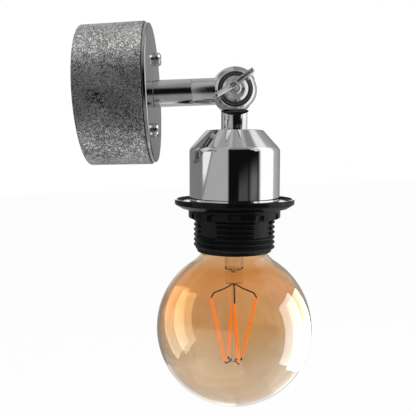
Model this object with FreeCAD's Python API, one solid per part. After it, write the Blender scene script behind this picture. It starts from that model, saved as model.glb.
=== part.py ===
import FreeCAD, Part
import math
import os

# Adjustable wall light: cast drum base, short arm, split ball knuckle and a bare bulb holder.
# The wall is the plane Y = 0, the light reaches out along -Y, and +Z is up.
# "Out" is a distance from the wall along -Y. "Down" is a distance below the ball centre
# along the axis of the hanging head. All sizes are in millimetres.

# Shared by several pieces
hairline_round = 0.1
fine_round = 0.2
small_round = 0.3
edge_round = 0.4
soft_round = 0.6
running_clearance = 0.1
thread_clearance = 0.05
washer_bore_clearance = 0.2
screw_tip_gap = 1.0
cut_margin = 1.0
screw_point_share = 0.3
head_edge_share = 0.2

# Drum and front plate
drum_front_radius = 34.3
drum_back_radius = 33.7
drum_depth = 30.6
drum_wall = 2.6
drum_back_wall = 3.0
drum_edge_round = 0.9
plate_radius = 33.5
plate_thickness = 2.2
plate_edge_round = 1.7
plate_seam = 0.5
plate_spigot_depth = 2.6
plate_spigot_wall = 1.6
plate_clearance = 0.15
plate_screw_clearance = 0.25

# Wall fixing and cable entry
wall_slot_spacing = 46.0
wall_slot_width = 4.5
wall_slot_length = 9.0
cable_entry_radius = 7.0

# Cover screws and the lugs they bite in
cover_screw_circle_radius = 21.4
cover_screw_angle = 58.5
cover_screw_radius = 2.0
cover_screw_head_radius = 3.35
cover_screw_head_height = 3.0
cover_screw_dome_share = 0.75
cover_screw_length = 12.0
lug_radius = 4.4
lug_gap = 0.3
blind_hole_floor = 0.5

# Terminal block and earth screw inside the drum
block_width = 20.0
block_height = 14.0
block_depth = 10.0
block_pitch = 10.0
block_drop = 11.0
block_aside = 4.4
block_tube_radius = 1.9
block_tube_bore = 1.25
block_screw_radius = 1.3
block_fixing_radius = 1.5
block_fixing_head_radius = 2.6
block_fixing_head_height = 1.8
block_fixing_head_round = 0.9
block_edge_round = 0.8
block_groove_clearance = 0.2
block_tube_inset = 1.0
block_screw_recess = 0.8
earth_screw_x = -16.0
earth_screw_z = 15.0
earth_screw_radius = 2.0
earth_screw_head_radius = 3.8
earth_screw_head_height = 2.6
earth_screw_head_round = 1.0
earth_washer_rim = 0.6
earth_washer_thickness = 0.8

# Hollow M10 nipples with their nuts and washers
nipple_radius = 5.0
nipple_bore_radius = 4.0
nipple_engagement = 7.5
nut_across_flats = 14.0
nut_thickness = 3.0
nut_chamfer_share = 0.6
washer_radius = 8.6
washer_thickness = 0.9
nipple_past_nut = 2.0
nipple_end_gap = 0.3

# Arm
arm_radius = 6.55
arm_length = 18.8
arm_end_round = 0.5

# Knuckle: two equal half balls with stubs, held by a wing screw
ball_radius = 11.6
ball_face_depth = 7.9
ball_face_round = 0.5
ball_flat_distance = 9.75
seat_clearance = 0.65
parting_gap = 0.2
arm_stub_length = 20.7
neck_reach = 19.2
neck_radius = 6.7
chamber_radius = 7.2
chamber_depth = 5.2
chamber_boss_radius = 4.3
face_recess_radius = 7.9
face_recess_depth = 0.7
stub_bore_floor = 1.5
head_tilt = 2.1

# Wing screw and its spring washer
wing_screw_radius = 2.5
wing_screw_end_gap = 0.6
knuckle_washer_radius = 7.5
knuckle_washer_thickness = 1.0
knuckle_washer_clearance = 0.3
hub_radius = 6.1
hub_height = 3.2
hub_foot_inset = 0.4
hub_foot_height = 0.6
hub_rim_height = 0.9
hub_shoulder_radius = 4.9
hub_shoulder_height = 2.3
hub_dome_round = 3.0
hub_tip_radius = 2.6
hub_tip_height = 0.9
hub_tip_draft = 0.4
wing_half_span = 10.9
wing_root_half = 4.6
wing_height = 9.2
wing_valley_height = 2.6
wing_valley_half = 1.5
wing_valley_round = 4.0
wing_thickness = 2.1
wing_offset = 1.8
wing_angle = 32.5
wing_tip_round = 1.3
wing_outer_round = 3.0
wing_edge_round = 0.6
wing_foot = 0.8
wing_knee_height = 2.6
wing_splay = 0.4

# Lamp wires
wire_radius = 0.95
wire_spread = 1.15
wire_offset = 2.6
wire_slot_clearance = 0.3
wire_bend = 3.5
wire_end_gap = 1.0
block_wire_depth = 3.0
block_wire_rise = 5.5
arm_wire_turn = 5.0
terminal_wire_depth = 2.0
terminal_wire_bend = 2.2
terminal_wire_clearance = 0.15

# Metal cup over the holder
cup_height = 34.5
cup_top_radius = 14.0
cup_radius = 22.4
cup_cone_height = 9.3
cup_wall = 0.8
cup_top_round = 0.9
cup_shoulder_round = 3.2
cup_lip_height = 1.0
cup_lip_flare = 0.3
cup_lip_round = 0.25
cup_lip_blend = 0.5
cup_cone_share = 0.4

# Cap, insulating core and terminals of the holder
cap_dome_gap = 0.5
cap_dome_thread = 6.0
cap_dome_collar_radius = 7.6
cap_dome_wall = 1.9
cap_dome_top_radius = 14.4
cap_dome_radius = 20.0
cap_dome_slope = 6.0
cap_dome_spigot_radius = 18.6
cap_dome_spigot_length = 11.0
cap_dome_top_round = 1.2
cap_dome_round = 2.5
cap_dome_inside_round = 1.5
cap_dome_rim = 1.2
cap_dome_corner = 1.0
core_drop = 14.0
core_radius = 16.9
core_disc = 5.0
core_tube_length = 21.0
core_clearance = 0.2
terminal_width = 8.0
terminal_depth = 5.0
terminal_height = 4.5
terminal_distance = 11.0
terminal_edge_round = 0.5
rivet_past_core = 0.3
terminal_screw_radius = 1.5
terminal_screw_head_radius = 2.2
terminal_screw_head_height = 1.6
terminal_screw_length = 1.1

# Contacts of the holder
screw_shell_bore_radius = 13.25
screw_shell_wall = 0.4
screw_shell_length = 17.5
screw_shell_drop = 2.5
contact_thickness = 0.5
contact_width = 6.0
contact_half_length = 7.5
contact_rise = 1.5
contact_bend = 1.5
contact_foot = 3.0
contact_ramp_end = 1.5
contact_tip = 4.0
rivet_radius = 1.4

# Threaded skirt and shade ring
skirt_below_cup = 25.4
skirt_radius = 20.2
skirt_wall = 3.0
skirt_above_cup_edge = 7.5
skirt_band_height = 2.0
skirt_band_step = 1.6
ledge_thickness = 2.0
ledge_bore_radius = 14.7
ring_gap = 0.5
ring_radius = 29.7
ring_lip_width = 1.1
ring_lip_height = 1.3
ring_floor_thickness = 1.2
ring_underside_height = 2.0
ring_underside_radius = 26.4
ring_collar_radius = 23.0
ring_collar_height = 5.0
ring_clearance = 0.1
ring_notch_count = 12
ring_notch_width = 4.2
ring_notch_depth = 0.9
ring_notch_start = 2.0
ring_lip_draft = 0.2
ring_collar_blend = 0.8
ring_underside_round = 1.0

# Screw cap of the bulb
cap_running = 0.3
cap_sheet = 0.35
cap_thread_length = 16.5
cap_cement_gap = 0.3
cap_collar_length = 4.8
cap_contact_radius = 4.6
cap_contact_height = 2.4
cap_contact_round = 1.4
cap_insulator_height = 4.2
cap_insulator_radius = 11.6
cap_insulator_rim = 1.0
cap_insulator_round = 1.0
cap_insulator_lip = 0.6
cap_insulator_depth = 1.2
cap_rim_clearance = 0.05
cap_rim_round = 0.9
cap_thread_blend = 0.5
contact_play = 0.2
driver_width = 17.0
driver_height = 13.0
driver_thickness = 1.2
driver_part_thickness = 4.0
driver_depth = 1.6
capacitor_length = 8.0
capacitor_across = -3.5
capacitor_end = 10.5
choke_left = 1.5
choke_right = 7.0
choke_start = 4.0
choke_end = 10.0
bridge_left = -5.0
bridge_right = 3.0
bridge_start = 3.0
bridge_end = 8.0
bridge_height = 1.8

# Glass globe and what it holds
globe_radius = 39.0
globe_neck_length = 4.76
glass_wall = 1.0
globe_neck_radius = 12.9
globe_neck_blend = 19.0
stem_flare_gap = 0.2
stem_tube_radius = 4.6
stem_tube_wall = 0.9
stem_press_width = 8.4
stem_press_thickness = 4.0
stem_press_height = 7.0
stem_press_round = 1.2
stem_press_gap = 7.7
stem_flare_inset = 1.5
stem_flare_height = 10.0
stem_flare_bend = 6.0
stem_tube_floor = 1.5
stem_tube_dome = 1.0
rod_radius = 1.0
rod_tail = 1.4
filament_count = 4
filament_radius = 0.9
filament_top_circle = 11.5
filament_bottom_circle = 5.2
filament_top_drop = 103.5
filament_drop = 32.1
filament_twist = 30.0
filament_wire_radius = 0.35
filament_wire_gap = 0.1
wire_straight = 1.0
wire_knee_radius = 4.5
wire_knee_drop = 2.8
wire_elbow_share = 0.88
wire_elbow_rise = 2.5
wire_hold_rise = 1.2
wire_hold_inset = 0.3
wire_upper_bend = 0.8
wire_lower_bend = 0.4

# Limits of the outline helper
straight_angle = 0.01
arc_share = 0.49
touching = 1e-6
along_axis = 0.9

# Places worked out from the sizes above
plate_face = drum_depth + plate_thickness
arm_end = plate_face + arm_length
ball_out = arm_end + arm_stub_length
ball_centre = FreeCAD.Vector(0, -ball_out, 0)
seat_radius = ball_radius + seat_clearance
half_gap = parting_gap / 2
nipple_hole_radius = nipple_radius + thread_clearance
cover_screw_hole_radius = cover_screw_radius + thread_clearance
cup_top = neck_reach
cup_bottom = cup_top + cup_height
cup_inside_top = cup_top + cup_wall
cup_nut_top = cup_inside_top + washer_thickness
cap_dome_top = cup_nut_top + nut_thickness + cap_dome_gap
core_top = cup_inside_top + core_drop
core_underside = core_top + core_disc
core_bottom = core_underside + core_tube_length
contact_face = core_underside + contact_rise + contact_thickness
cap_tip = contact_face + contact_play
insulator_top = cap_tip + cap_contact_height
cap_thread_top = insulator_top + cap_insulator_height
cap_collar_top = cap_thread_top + cap_thread_length
cap_bottom = cap_collar_top + cap_collar_length
cap_thread_radius = screw_shell_bore_radius - cap_running
cap_collar_radius = globe_neck_radius + cap_cement_gap + cap_sheet
stem_flare_radius = globe_neck_radius - glass_wall - stem_flare_gap
screw_shell_radius = screw_shell_bore_radius + screw_shell_wall
screw_shell_top = core_underside + screw_shell_drop
skirt_top = cup_bottom - skirt_above_cup_edge
skirt_bottom = cup_bottom + skirt_below_cup
skirt_bore_radius = skirt_radius - skirt_wall
ledge_top = core_bottom + core_clearance
ring_floor = cup_bottom + ring_gap
glass_top = cap_collar_top + cap_sheet
globe_sweep_radius = globe_neck_radius + globe_neck_blend
globe_rise = math.sqrt((globe_radius + globe_neck_blend) ** 2 - globe_sweep_radius ** 2)
globe_drop = glass_top + globe_neck_length + globe_rise
filament_bottom_drop = filament_top_drop + filament_drop
stem_end_drop = filament_top_drop - stem_press_gap
rod_end_drop = filament_bottom_drop + rod_tail


def corner_points(before, corner, after, radius):
    """Start, middle and end of the arc that rounds one corner of an outline."""
    to_before = before - corner
    to_after = after - corner
    reach_before = to_before.Length
    reach_after = to_after.Length
    to_before.normalize()
    to_after.normalize()
    opening = math.acos(max(-1.0, min(1.0, to_before.dot(to_after))))
    if radius <= 0 or math.pi - opening < straight_angle:
        return None
    trim = radius / math.tan(opening / 2)
    trim = min(trim, arc_share * reach_before, arc_share * reach_after)
    radius = trim * math.tan(opening / 2)
    bisector = (to_before + to_after).normalize()
    centre = corner + bisector * (radius / math.sin(opening / 2))
    return corner + to_before * trim, centre - bisector * radius, corner + to_after * trim


def path_edges(points, roundings, closed):
    """Straight and arc edges through the points, each inner corner rounded."""
    edges = []
    count = len(points)
    first_end = points[0]
    arcs = []
    for index in range(count):
        inner = closed or 0 < index < count - 1
        arc = None
        if inner:
            before = points[index - 1]
            after = points[(index + 1) % count]
            arc = corner_points(before, points[index], after, roundings[index])
        arcs.append(arc)
    last = count if closed else count - 1
    for index in range(count):
        if arcs[index] is not None:
            edges.append(Part.Arc(*arcs[index]).toShape())
        if index < last:
            following = (index + 1) % count
            start = arcs[index][2] if arcs[index] else points[index]
            end = arcs[following][0] if arcs[following] else points[following]
            if (end - start).Length > touching:
                edges.append(Part.LineSegment(start, end).toShape())
    return edges


def outline_face(corners, place):
    """A flat face from corners given as (a, b) or (a, b, rounding)."""
    points = [place(corner[0], corner[1]) for corner in corners]
    roundings = [corner[2] if len(corner) > 2 else 0 for corner in corners]
    wire = Part.Wire(Part.sortEdges(path_edges(points, roundings, True))[0])
    return Part.Face(wire)


def as_solid(shape):
    """The one solid of a shape, with its volume the right way round."""
    solid = shape.Solids[0] if len(shape.Solids) == 1 else shape
    if solid.Volume < 0:
        solid.reverse()
    return solid


def turned_out(corners):
    """A body turned about the arm axis, from (radius, out) corners."""
    face = outline_face(corners, lambda radius, out: FreeCAD.Vector(radius, -out, 0))
    return as_solid(face.revolve(FreeCAD.Vector(), FreeCAD.Vector(0, 1, 0), 360))


def turned_down(corners):
    """A body turned about the head axis, from (radius, down) corners."""
    face = outline_face(corners, lambda radius, down: FreeCAD.Vector(radius, 0, -down))
    return as_solid(face.revolve(FreeCAD.Vector(), FreeCAD.Vector(0, 0, 1), 360))


def turned_side(corners):
    """A body turned about the knuckle axis, from (radius, x) corners."""
    face = outline_face(corners, lambda radius, x: FreeCAD.Vector(x, radius, 0))
    return as_solid(face.revolve(FreeCAD.Vector(), FreeCAD.Vector(1, 0, 0), 360))


def rod_out(radius, start, end, x=0.0, z=0.0):
    """A round rod along the arm direction, between two distances from the wall."""
    base = FreeCAD.Vector(x, -start, z)
    return Part.makeCylinder(radius, end - start, base, FreeCAD.Vector(0, -1, 0))


def rod_down(radius, start, end, x=0.0, y=0.0):
    """A round rod along the head axis, between two distances below the ball."""
    base = FreeCAD.Vector(x, y, -start)
    return Part.makeCylinder(radius, end - start, base, FreeCAD.Vector(0, 0, -1))


def rod_side(radius, start, end, y=0.0, z=0.0):
    """A round rod along X."""
    return Part.makeCylinder(radius, end - start, FreeCAD.Vector(start, y, z), FreeCAD.Vector(1, 0, 0))


def block(x_low, x_high, y_low, y_high, z_low, z_high):
    """A square block between two corners."""
    low = FreeCAD.Vector(x_low, y_low, z_low)
    return Part.makeBox(x_high - x_low, y_high - y_low, z_high - z_low, low)


def hexagon_prism(across_flats, height):
    """A hexagonal prism about Z, standing on Z = 0."""
    corner = across_flats / math.sqrt(3)
    points = []
    for step in range(7):
        angle = math.radians(60 * step)
        points.append(FreeCAD.Vector(corner * math.cos(angle), corner * math.sin(angle), 0))
    return Part.Face(Part.makePolygon(points)).extrude(FreeCAD.Vector(0, 0, height))


def hexagon_nut(bore_radius):
    """A nut about Z, standing on Z = 0, with its corners turned off."""
    corner = nut_across_flats / math.sqrt(3)
    cone_drop = (corner - nut_across_flats / 2) * nut_chamfer_share
    mask = outline_face(
        [
            (0, 0),
            (nut_across_flats / 2, 0),
            (corner, cone_drop),
            (corner, nut_thickness - cone_drop),
            (nut_across_flats / 2, nut_thickness),
            (0, nut_thickness),
        ],
        lambda radius, height: FreeCAD.Vector(radius, 0, height),
    ).revolve(FreeCAD.Vector(), FreeCAD.Vector(0, 0, 1), 360)
    nut = hexagon_prism(nut_across_flats, nut_thickness).common(mask)
    return as_solid(nut.cut(Part.makeCylinder(bore_radius, nut_thickness)))


def screw_about_z(radius, length, head_radius, head_height, head_round):
    """A machine screw about Z: its head stands above Z = 0 and its shank hangs below."""
    face = outline_face(
        [
            (0, -length),
            (radius, -length, screw_point_share * radius),
            (radius, 0),
            (head_radius, 0, head_edge_share * head_height),
            (head_radius, head_height, head_round),
            (0, head_height),
        ],
        lambda across, height: FreeCAD.Vector(across, 0, height),
    )
    return as_solid(face.revolve(FreeCAD.Vector(), FreeCAD.Vector(0, 0, 1), 360))


def turned_to(shape, direction, position):
    """A shape made about +Z, turned to a direction and moved to a position."""
    turn = FreeCAD.Rotation(FreeCAD.Vector(0, 0, 1), direction)
    placed = shape.copy()
    placed.Placement = FreeCAD.Placement(position, turn).multiply(placed.Placement)
    return placed


def in_head(shape):
    """A shape built about the ball centre with the head square, set to the head's tilt."""
    placed = shape.copy()
    placed.rotate(FreeCAD.Vector(), FreeCAD.Vector(1, 0, 0), head_tilt)
    placed.translate(ball_centre)
    return placed


def round_wire(points, radius, bend):
    """A round wire through the points, its bends rounded."""
    edges = path_edges(points, [bend] * len(points), False)
    spine = Part.Wire(Part.sortEdges(edges)[0])
    start = (points[1] - points[0]).normalize()
    section = Part.Wire(Part.makeCircle(radius, points[0], start))
    return as_solid(spine.makePipeShell([section], True, True))


def edges_along(shape, direction):
    """The straight edges of a shape that run along a direction."""
    return [edge for edge in shape.Edges
            if abs(edge.tangentAt(edge.FirstParameter).dot(direction)) > along_axis]


def cover_screw_places():
    """The two cover screws' X and Z, opposite each other on their circle."""
    angle = math.radians(cover_screw_angle)
    x = cover_screw_circle_radius * math.cos(angle)
    z = cover_screw_circle_radius * math.sin(angle)
    return [(x, z), (-x, -z)]


def drum_inside_radius(out):
    """Inside radius of the tapered drum at a distance from the wall."""
    share = out / drum_depth
    return drum_back_radius + (drum_front_radius - drum_back_radius) * share - drum_wall


def wall_slot(x):
    """One slot for a wall screw, along X, through the drum's back."""
    reach = (wall_slot_length - wall_slot_width) / 2
    radius = wall_slot_width / 2
    through = drum_back_wall + cut_margin
    slot = rod_out(radius, -cut_margin, through, x - reach)
    slot = slot.fuse(rod_out(radius, -cut_margin, through, x + reach))
    middle = block(x - reach, x + reach, -through, cut_margin, -radius, radius)
    return slot.fuse(middle)


def make_drum_housing():
    """Cast drum, open at the front, with a back wall and two screw lugs."""
    drum = turned_out(
        [
            (0, 0),
            (drum_back_radius, 0, drum_edge_round),
            (drum_front_radius, drum_depth, drum_edge_round / 2),
            (drum_inside_radius(drum_depth), drum_depth, drum_edge_round / 3),
            (drum_inside_radius(drum_back_wall), drum_back_wall, drum_edge_round),
            (0, drum_back_wall),
        ]
    )
    lug_end = drum_depth - lug_gap
    through = drum_back_wall + cut_margin
    for x, z in cover_screw_places():
        drum = drum.fuse(rod_out(lug_radius, drum_back_wall / 2, lug_end, x, z))
        drum = drum.cut(rod_out(cover_screw_hole_radius, lug_end - cover_screw_length, lug_end, x, z))
    drum = drum.cut(rod_out(cable_entry_radius, -cut_margin, through))
    for side in (-1, 1):
        drum = drum.cut(wall_slot(side * wall_slot_spacing / 2))
    fixing = rod_out(block_fixing_radius + thread_clearance, blind_hole_floor, through,
                     block_aside, -block_middle())
    earth_hole = rod_out(earth_screw_radius + thread_clearance, blind_hole_floor, through,
                         earth_screw_x, earth_screw_z)
    return as_solid(drum.cut(fixing).cut(earth_hole))


def block_middle():
    """How far the middle of the terminal block lies below the cable entry."""
    return block_drop + block_height / 2


def make_front_plate():
    """Turned front plate with a rounded edge and a spigot that centres it in the drum."""
    spigot_radius = drum_inside_radius(drum_depth) - 2 * plate_clearance
    plate = turned_out(
        [
            (0, drum_depth),
            (spigot_radius - plate_spigot_wall, drum_depth),
            (spigot_radius - plate_spigot_wall, drum_depth - plate_spigot_depth),
            (spigot_radius - plate_clearance, drum_depth - plate_spigot_depth, small_round),
            (spigot_radius, drum_depth),
            (plate_radius - plate_seam, drum_depth),
            (plate_radius, drum_depth + plate_seam, fine_round),
            (plate_radius, plate_face, plate_edge_round),
            (0, plate_face),
        ]
    )
    screw_hole_radius = cover_screw_radius + plate_screw_clearance
    hole_start = drum_depth - plate_spigot_depth - cut_margin
    through = plate_face + cut_margin
    for x, z in cover_screw_places():
        plate = plate.cut(rod_out(screw_hole_radius, hole_start, through, x, z))
    return as_solid(plate.cut(rod_out(nipple_hole_radius, drum_depth - cut_margin, through)))


def make_cover_screws():
    """The two dome headed screws that hold the front plate."""
    reach = cover_screw_length + plate_thickness - screw_tip_gap
    screw = screw_about_z(cover_screw_radius, reach, cover_screw_head_radius, cover_screw_head_height,
                          cover_screw_dome_share * cover_screw_head_height)
    outward = FreeCAD.Vector(0, -1, 0)
    places = [FreeCAD.Vector(x, -plate_face, z) for x, z in cover_screw_places()]
    return Part.makeCompound([turned_to(screw, outward, place) for place in places])


def block_poles():
    """X of the two poles of the terminal block."""
    return [block_aside - block_pitch / 2, block_aside + block_pitch / 2]


def make_terminal_block():
    """Two pole plastic connector on the drum's back wall, below the cable entry."""
    top = -block_drop
    left = block_aside - block_width / 2
    body = block(left, left + block_width, -drum_back_wall - block_depth, -drum_back_wall,
                 top - block_height, top)
    tube_out = drum_back_wall + block_depth / 2
    body = body.makeFillet(block_edge_round, edges_along(body, FreeCAD.Vector(0, 1, 0)))
    waist = block_fixing_head_radius + block_groove_clearance
    past_face = drum_back_wall + block_depth + cut_margin
    past_end = top - block_height - cut_margin
    groove = block(block_aside - waist, block_aside + waist, -past_face, -tube_out,
                   past_end, top + cut_margin)
    body = body.cut(groove)
    for x in block_poles():
        bore = Part.makeCylinder(block_tube_radius + thread_clearance, block_height + 2 * cut_margin,
                                 FreeCAD.Vector(x, -tube_out, past_end))
        body = body.cut(bore)
        for z in block_screw_heights():
            well = rod_out(block_screw_radius + running_clearance, tube_out, past_face, x, z)
            body = body.cut(well)
    fixing = rod_out(block_fixing_radius + running_clearance, drum_back_wall - cut_margin, past_face,
                     block_aside, -block_middle())
    return as_solid(body.cut(fixing))


def block_screw_heights():
    """Z of the upper and lower clamping screws of the terminal block."""
    return [-block_middle() + block_height / 4, -block_middle() - block_height / 4]


def make_terminal_tubes():
    """The two brass tubes that join the wires inside the terminal block."""
    tube_out = drum_back_wall + block_depth / 2
    length = block_height - 2 * block_tube_inset
    tubes = []
    for x in block_poles():
        base = FreeCAD.Vector(x, -tube_out, -block_drop - block_height + block_tube_inset)
        outer = Part.makeCylinder(block_tube_radius, length, base)
        tubes.append(outer.cut(Part.makeCylinder(block_tube_bore, length, base)))
    return Part.makeCompound([as_solid(tube) for tube in tubes])


def make_terminal_screws():
    """Four small clamping screws, standing on the brass tubes."""
    start = drum_back_wall + block_depth / 2 + block_tube_radius + thread_clearance
    end = drum_back_wall + block_depth - block_screw_recess
    screws = []
    for x in block_poles():
        for z in block_screw_heights():
            screws.append(rod_out(block_screw_radius, start, end, x, z))
    return Part.makeCompound(screws)


def make_block_screw():
    """The screw that fixes the terminal block to the drum."""
    seat = drum_back_wall + block_depth / 2
    screw = screw_about_z(block_fixing_radius, seat - screw_tip_gap, block_fixing_head_radius,
                          block_fixing_head_height, block_fixing_head_round)
    place = FreeCAD.Vector(block_aside, -seat, -block_middle())
    return turned_to(screw, FreeCAD.Vector(0, -1, 0), place)


def make_earth_screw():
    """Earth screw in the drum's back wall."""
    seat = drum_back_wall + earth_washer_thickness
    screw = screw_about_z(earth_screw_radius, seat - screw_tip_gap, earth_screw_head_radius,
                          earth_screw_head_height, earth_screw_head_round)
    return turned_to(screw, FreeCAD.Vector(0, -1, 0), FreeCAD.Vector(earth_screw_x, -seat, earth_screw_z))


def make_earth_washer():
    """Cupped washer that holds the earth wire under its screw."""
    start = drum_back_wall
    end = start + earth_washer_thickness
    outer = rod_out(earth_screw_head_radius + earth_washer_rim, start, end, earth_screw_x, earth_screw_z)
    inner = rod_out(earth_screw_radius + washer_bore_clearance, start - cut_margin, end + cut_margin,
                    earth_screw_x, earth_screw_z)
    return as_solid(outer.cut(inner))


def make_arm_nipple():
    """Hollow threaded nipple that clamps the arm to the front plate."""
    start = drum_depth - washer_thickness - nut_thickness - nipple_past_nut
    end = plate_face + nipple_engagement
    nipple = rod_out(nipple_radius, start, end)
    return as_solid(nipple.cut(rod_out(nipple_bore_radius, start - cut_margin, end + cut_margin)))


def make_arm_washer():
    """Washer under the nut inside the drum."""
    start = drum_depth - washer_thickness
    washer = rod_out(washer_radius, start, drum_depth)
    return as_solid(washer.cut(rod_out(nipple_hole_radius, start - cut_margin, drum_depth + cut_margin)))


def make_arm_nut():
    """Hexagon nut inside the drum."""
    start = drum_depth - washer_thickness - nut_thickness
    nut = hexagon_nut(nipple_hole_radius)
    return turned_to(nut, FreeCAD.Vector(0, -1, 0), FreeCAD.Vector(0, -start, 0))


def make_arm_tube():
    """Plain tube between the front plate and the knuckle."""
    return turned_out(
        [
            (nipple_hole_radius, plate_face),
            (arm_radius, plate_face, arm_end_round / 2),
            (arm_radius, arm_end, arm_end_round),
            (nipple_hole_radius, arm_end, fine_round),
        ]
    )


def knuckle_casting(stub_radius, stub_length):
    """Half ball on the -X side of the parting plane with its stub along +Y."""
    keep = block(-ball_face_depth, -half_gap, -ball_radius, ball_radius, -ball_radius, ball_radius)
    half = Part.makeSphere(ball_radius).common(keep)
    half = half.makeFillet(ball_face_round, [edge for edge in half.Edges
                                             if edge.CenterOfMass.x < -ball_face_depth + touching])
    half = half.cut(block(-ball_radius, ball_radius, -ball_radius, ball_radius,
                          -ball_radius - cut_margin, -ball_flat_distance))
    stub = Part.makeCylinder(stub_radius, stub_length, FreeCAD.Vector(), FreeCAD.Vector(0, 1, 0))
    past_stub = stub_radius + cut_margin
    stub = stub.cut(rod_side(seat_radius, -half_gap, past_stub))
    inner_side = block(-past_stub, past_stub, -cut_margin, ball_flat_distance / 2, -past_stub, past_stub)
    half = half.fuse(stub.cut(inner_side))
    chamber = rod_side(chamber_radius, -chamber_depth, cut_margin).cut(
        rod_side(chamber_boss_radius, -chamber_depth, -half_gap))
    return half.cut(chamber).removeSplitter()


def wire_passage(start, end):
    """Flat sided passage for the two wires, from the stub's bore into the ball chamber."""
    radius = wire_radius + wire_slot_clearance
    along = FreeCAD.Vector(0, 1, 0)
    passage = None
    for side in (-1, 1):
        base = FreeCAD.Vector(-wire_offset, start, side * wire_spread)
        bore = Part.makeCylinder(radius, end - start, base, along)
        passage = bore if passage is None else passage.fuse(bore)
    middle = block(-wire_offset - radius, -wire_offset + radius, start, end, -wire_spread, wire_spread)
    return passage.fuse(middle)


def make_knuckle_arm_half():
    """Half ball on the camera side, on a stub that screws into the arm tube."""
    half = knuckle_casting(arm_radius, arm_stub_length)
    spigot_end = arm_stub_length + nipple_engagement
    spigot_start = arm_stub_length - cut_margin
    spigot = Part.makeCylinder(nipple_radius, spigot_end - spigot_start,
                               FreeCAD.Vector(0, spigot_start, 0), FreeCAD.Vector(0, 1, 0))
    half = half.fuse(spigot)
    bore_start = seat_radius + stub_bore_floor
    half = half.cut(Part.makeCylinder(nipple_bore_radius, spigot_end - bore_start + cut_margin,
                                      FreeCAD.Vector(0, bore_start, 0), FreeCAD.Vector(0, 1, 0)))
    half = half.cut(wire_passage(chamber_boss_radius, bore_start + cut_margin))
    half = half.cut(rod_side(wing_screw_radius + running_clearance, -ball_radius, cut_margin))
    half = half.cut(rod_side(face_recess_radius, -ball_radius, -ball_face_depth + face_recess_depth))
    half = as_solid(half.removeSplitter())
    half.translate(ball_centre)
    return half


def make_knuckle_head_half():
    """Half ball on the far side, with the neck that the cup hangs from."""
    half = knuckle_casting(neck_radius, neck_reach)
    bore_start = neck_reach - nipple_engagement
    half = half.cut(Part.makeCylinder(nipple_hole_radius, nipple_engagement + cut_margin,
                                      FreeCAD.Vector(0, bore_start, 0), FreeCAD.Vector(0, 1, 0)))
    half = half.cut(wire_passage(chamber_boss_radius, bore_start + cut_margin))
    half = half.cut(rod_side(wing_screw_radius + thread_clearance, -ball_radius, cut_margin))
    half = as_solid(half.removeSplitter())
    half.rotate(FreeCAD.Vector(), FreeCAD.Vector(0, 1, -1), 180)
    return in_head(half)


def wing_screw_stack():
    """X of the washer's seat, the hub's seat and the hub's face."""
    washer_seat = -ball_face_depth + face_recess_depth
    hub_seat = washer_seat - knuckle_washer_thickness
    return washer_seat, hub_seat, hub_seat - hub_height


def make_knuckle_washer():
    """Spring washer between the wing screw and the ball."""
    washer_seat, hub_seat, _ = wing_screw_stack()
    washer = rod_side(knuckle_washer_radius, hub_seat, washer_seat)
    bore = rod_side(wing_screw_radius + knuckle_washer_clearance, hub_seat - cut_margin, 0)
    return in_head(as_solid(washer.cut(bore)))


def wing_blade():
    """The two ears of the wing screw as one plate, flat in the plane Y = 0 of the screw."""
    _, hub_seat, hub_face = wing_screw_stack()
    tip = hub_face - wing_height
    near_ear = [
        (wing_root_half, hub_seat - wing_foot),
        (wing_half_span, hub_face - wing_knee_height, wing_outer_round),
        (wing_half_span + wing_splay, tip, wing_tip_round),
        (wing_valley_half, hub_face - wing_valley_height, wing_valley_round),
    ]
    far_ear = [(-corner[0], *corner[1:]) for corner in reversed(near_ear)]
    middle = wing_offset - wing_thickness / 2
    face = outline_face(near_ear + far_ear, lambda along, x: FreeCAD.Vector(x, along, middle))
    blade = face.extrude(FreeCAD.Vector(0, 0, wing_thickness))
    outer = [edge for edge in blade.Edges if abs(edge.CenterOfMass.z - wing_offset) > wing_thickness / 4
             and edge.CenterOfMass.x < hub_face]
    return blade.makeFillet(wing_edge_round, outer)


def make_wing_screw():
    """Wing screw: round hub with two ears and a threaded shank through both half balls."""
    _, hub_seat, hub_face = wing_screw_stack()
    shank_end = ball_face_depth - wing_screw_end_gap
    screw = turned_side(
        [
            (0, shank_end),
            (wing_screw_radius, shank_end, soft_round),
            (wing_screw_radius, hub_seat),
            (hub_radius - hub_foot_inset, hub_seat),
            (hub_radius, hub_seat - hub_foot_height, fine_round),
            (hub_radius, hub_seat - hub_rim_height, fine_round),
            (hub_shoulder_radius, hub_seat - hub_shoulder_height, hub_dome_round),
            (hub_tip_radius, hub_face, small_round),
            (hub_tip_radius - hub_tip_draft, hub_face - hub_tip_height, edge_round),
            (0, hub_face - hub_tip_height),
        ]
    )
    screw = screw.fuse(wing_blade()).removeSplitter()
    screw = as_solid(screw)
    screw.rotate(FreeCAD.Vector(), FreeCAD.Vector(1, 0, 0), -180 - wing_angle - head_tilt)
    return in_head(screw)


def make_arm_wires():
    """Two wires from the terminal block through the arm into the arm's half ball."""
    end_out = ball_out - chamber_boss_radius - wire_end_gap
    tube_out = drum_back_wall + block_depth / 2
    nipple_start = drum_depth - washer_thickness - nut_thickness - nipple_past_nut
    entry = -block_drop - block_wire_depth
    wires = []
    for pole, side in zip(block_poles(), (1, -1)):
        turn_out = nipple_start - arm_wire_turn - 2 * wire_spread * side
        points = [
            FreeCAD.Vector(-wire_offset, -end_out, side * wire_spread),
            FreeCAD.Vector(-wire_offset, -turn_out, side * wire_spread),
            FreeCAD.Vector(pole, -tube_out, -block_drop + block_wire_rise),
            FreeCAD.Vector(pole, -tube_out, entry),
        ]
        wires.append(round_wire(points, wire_radius, wire_bend))
    return Part.makeCompound(wires)


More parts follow.
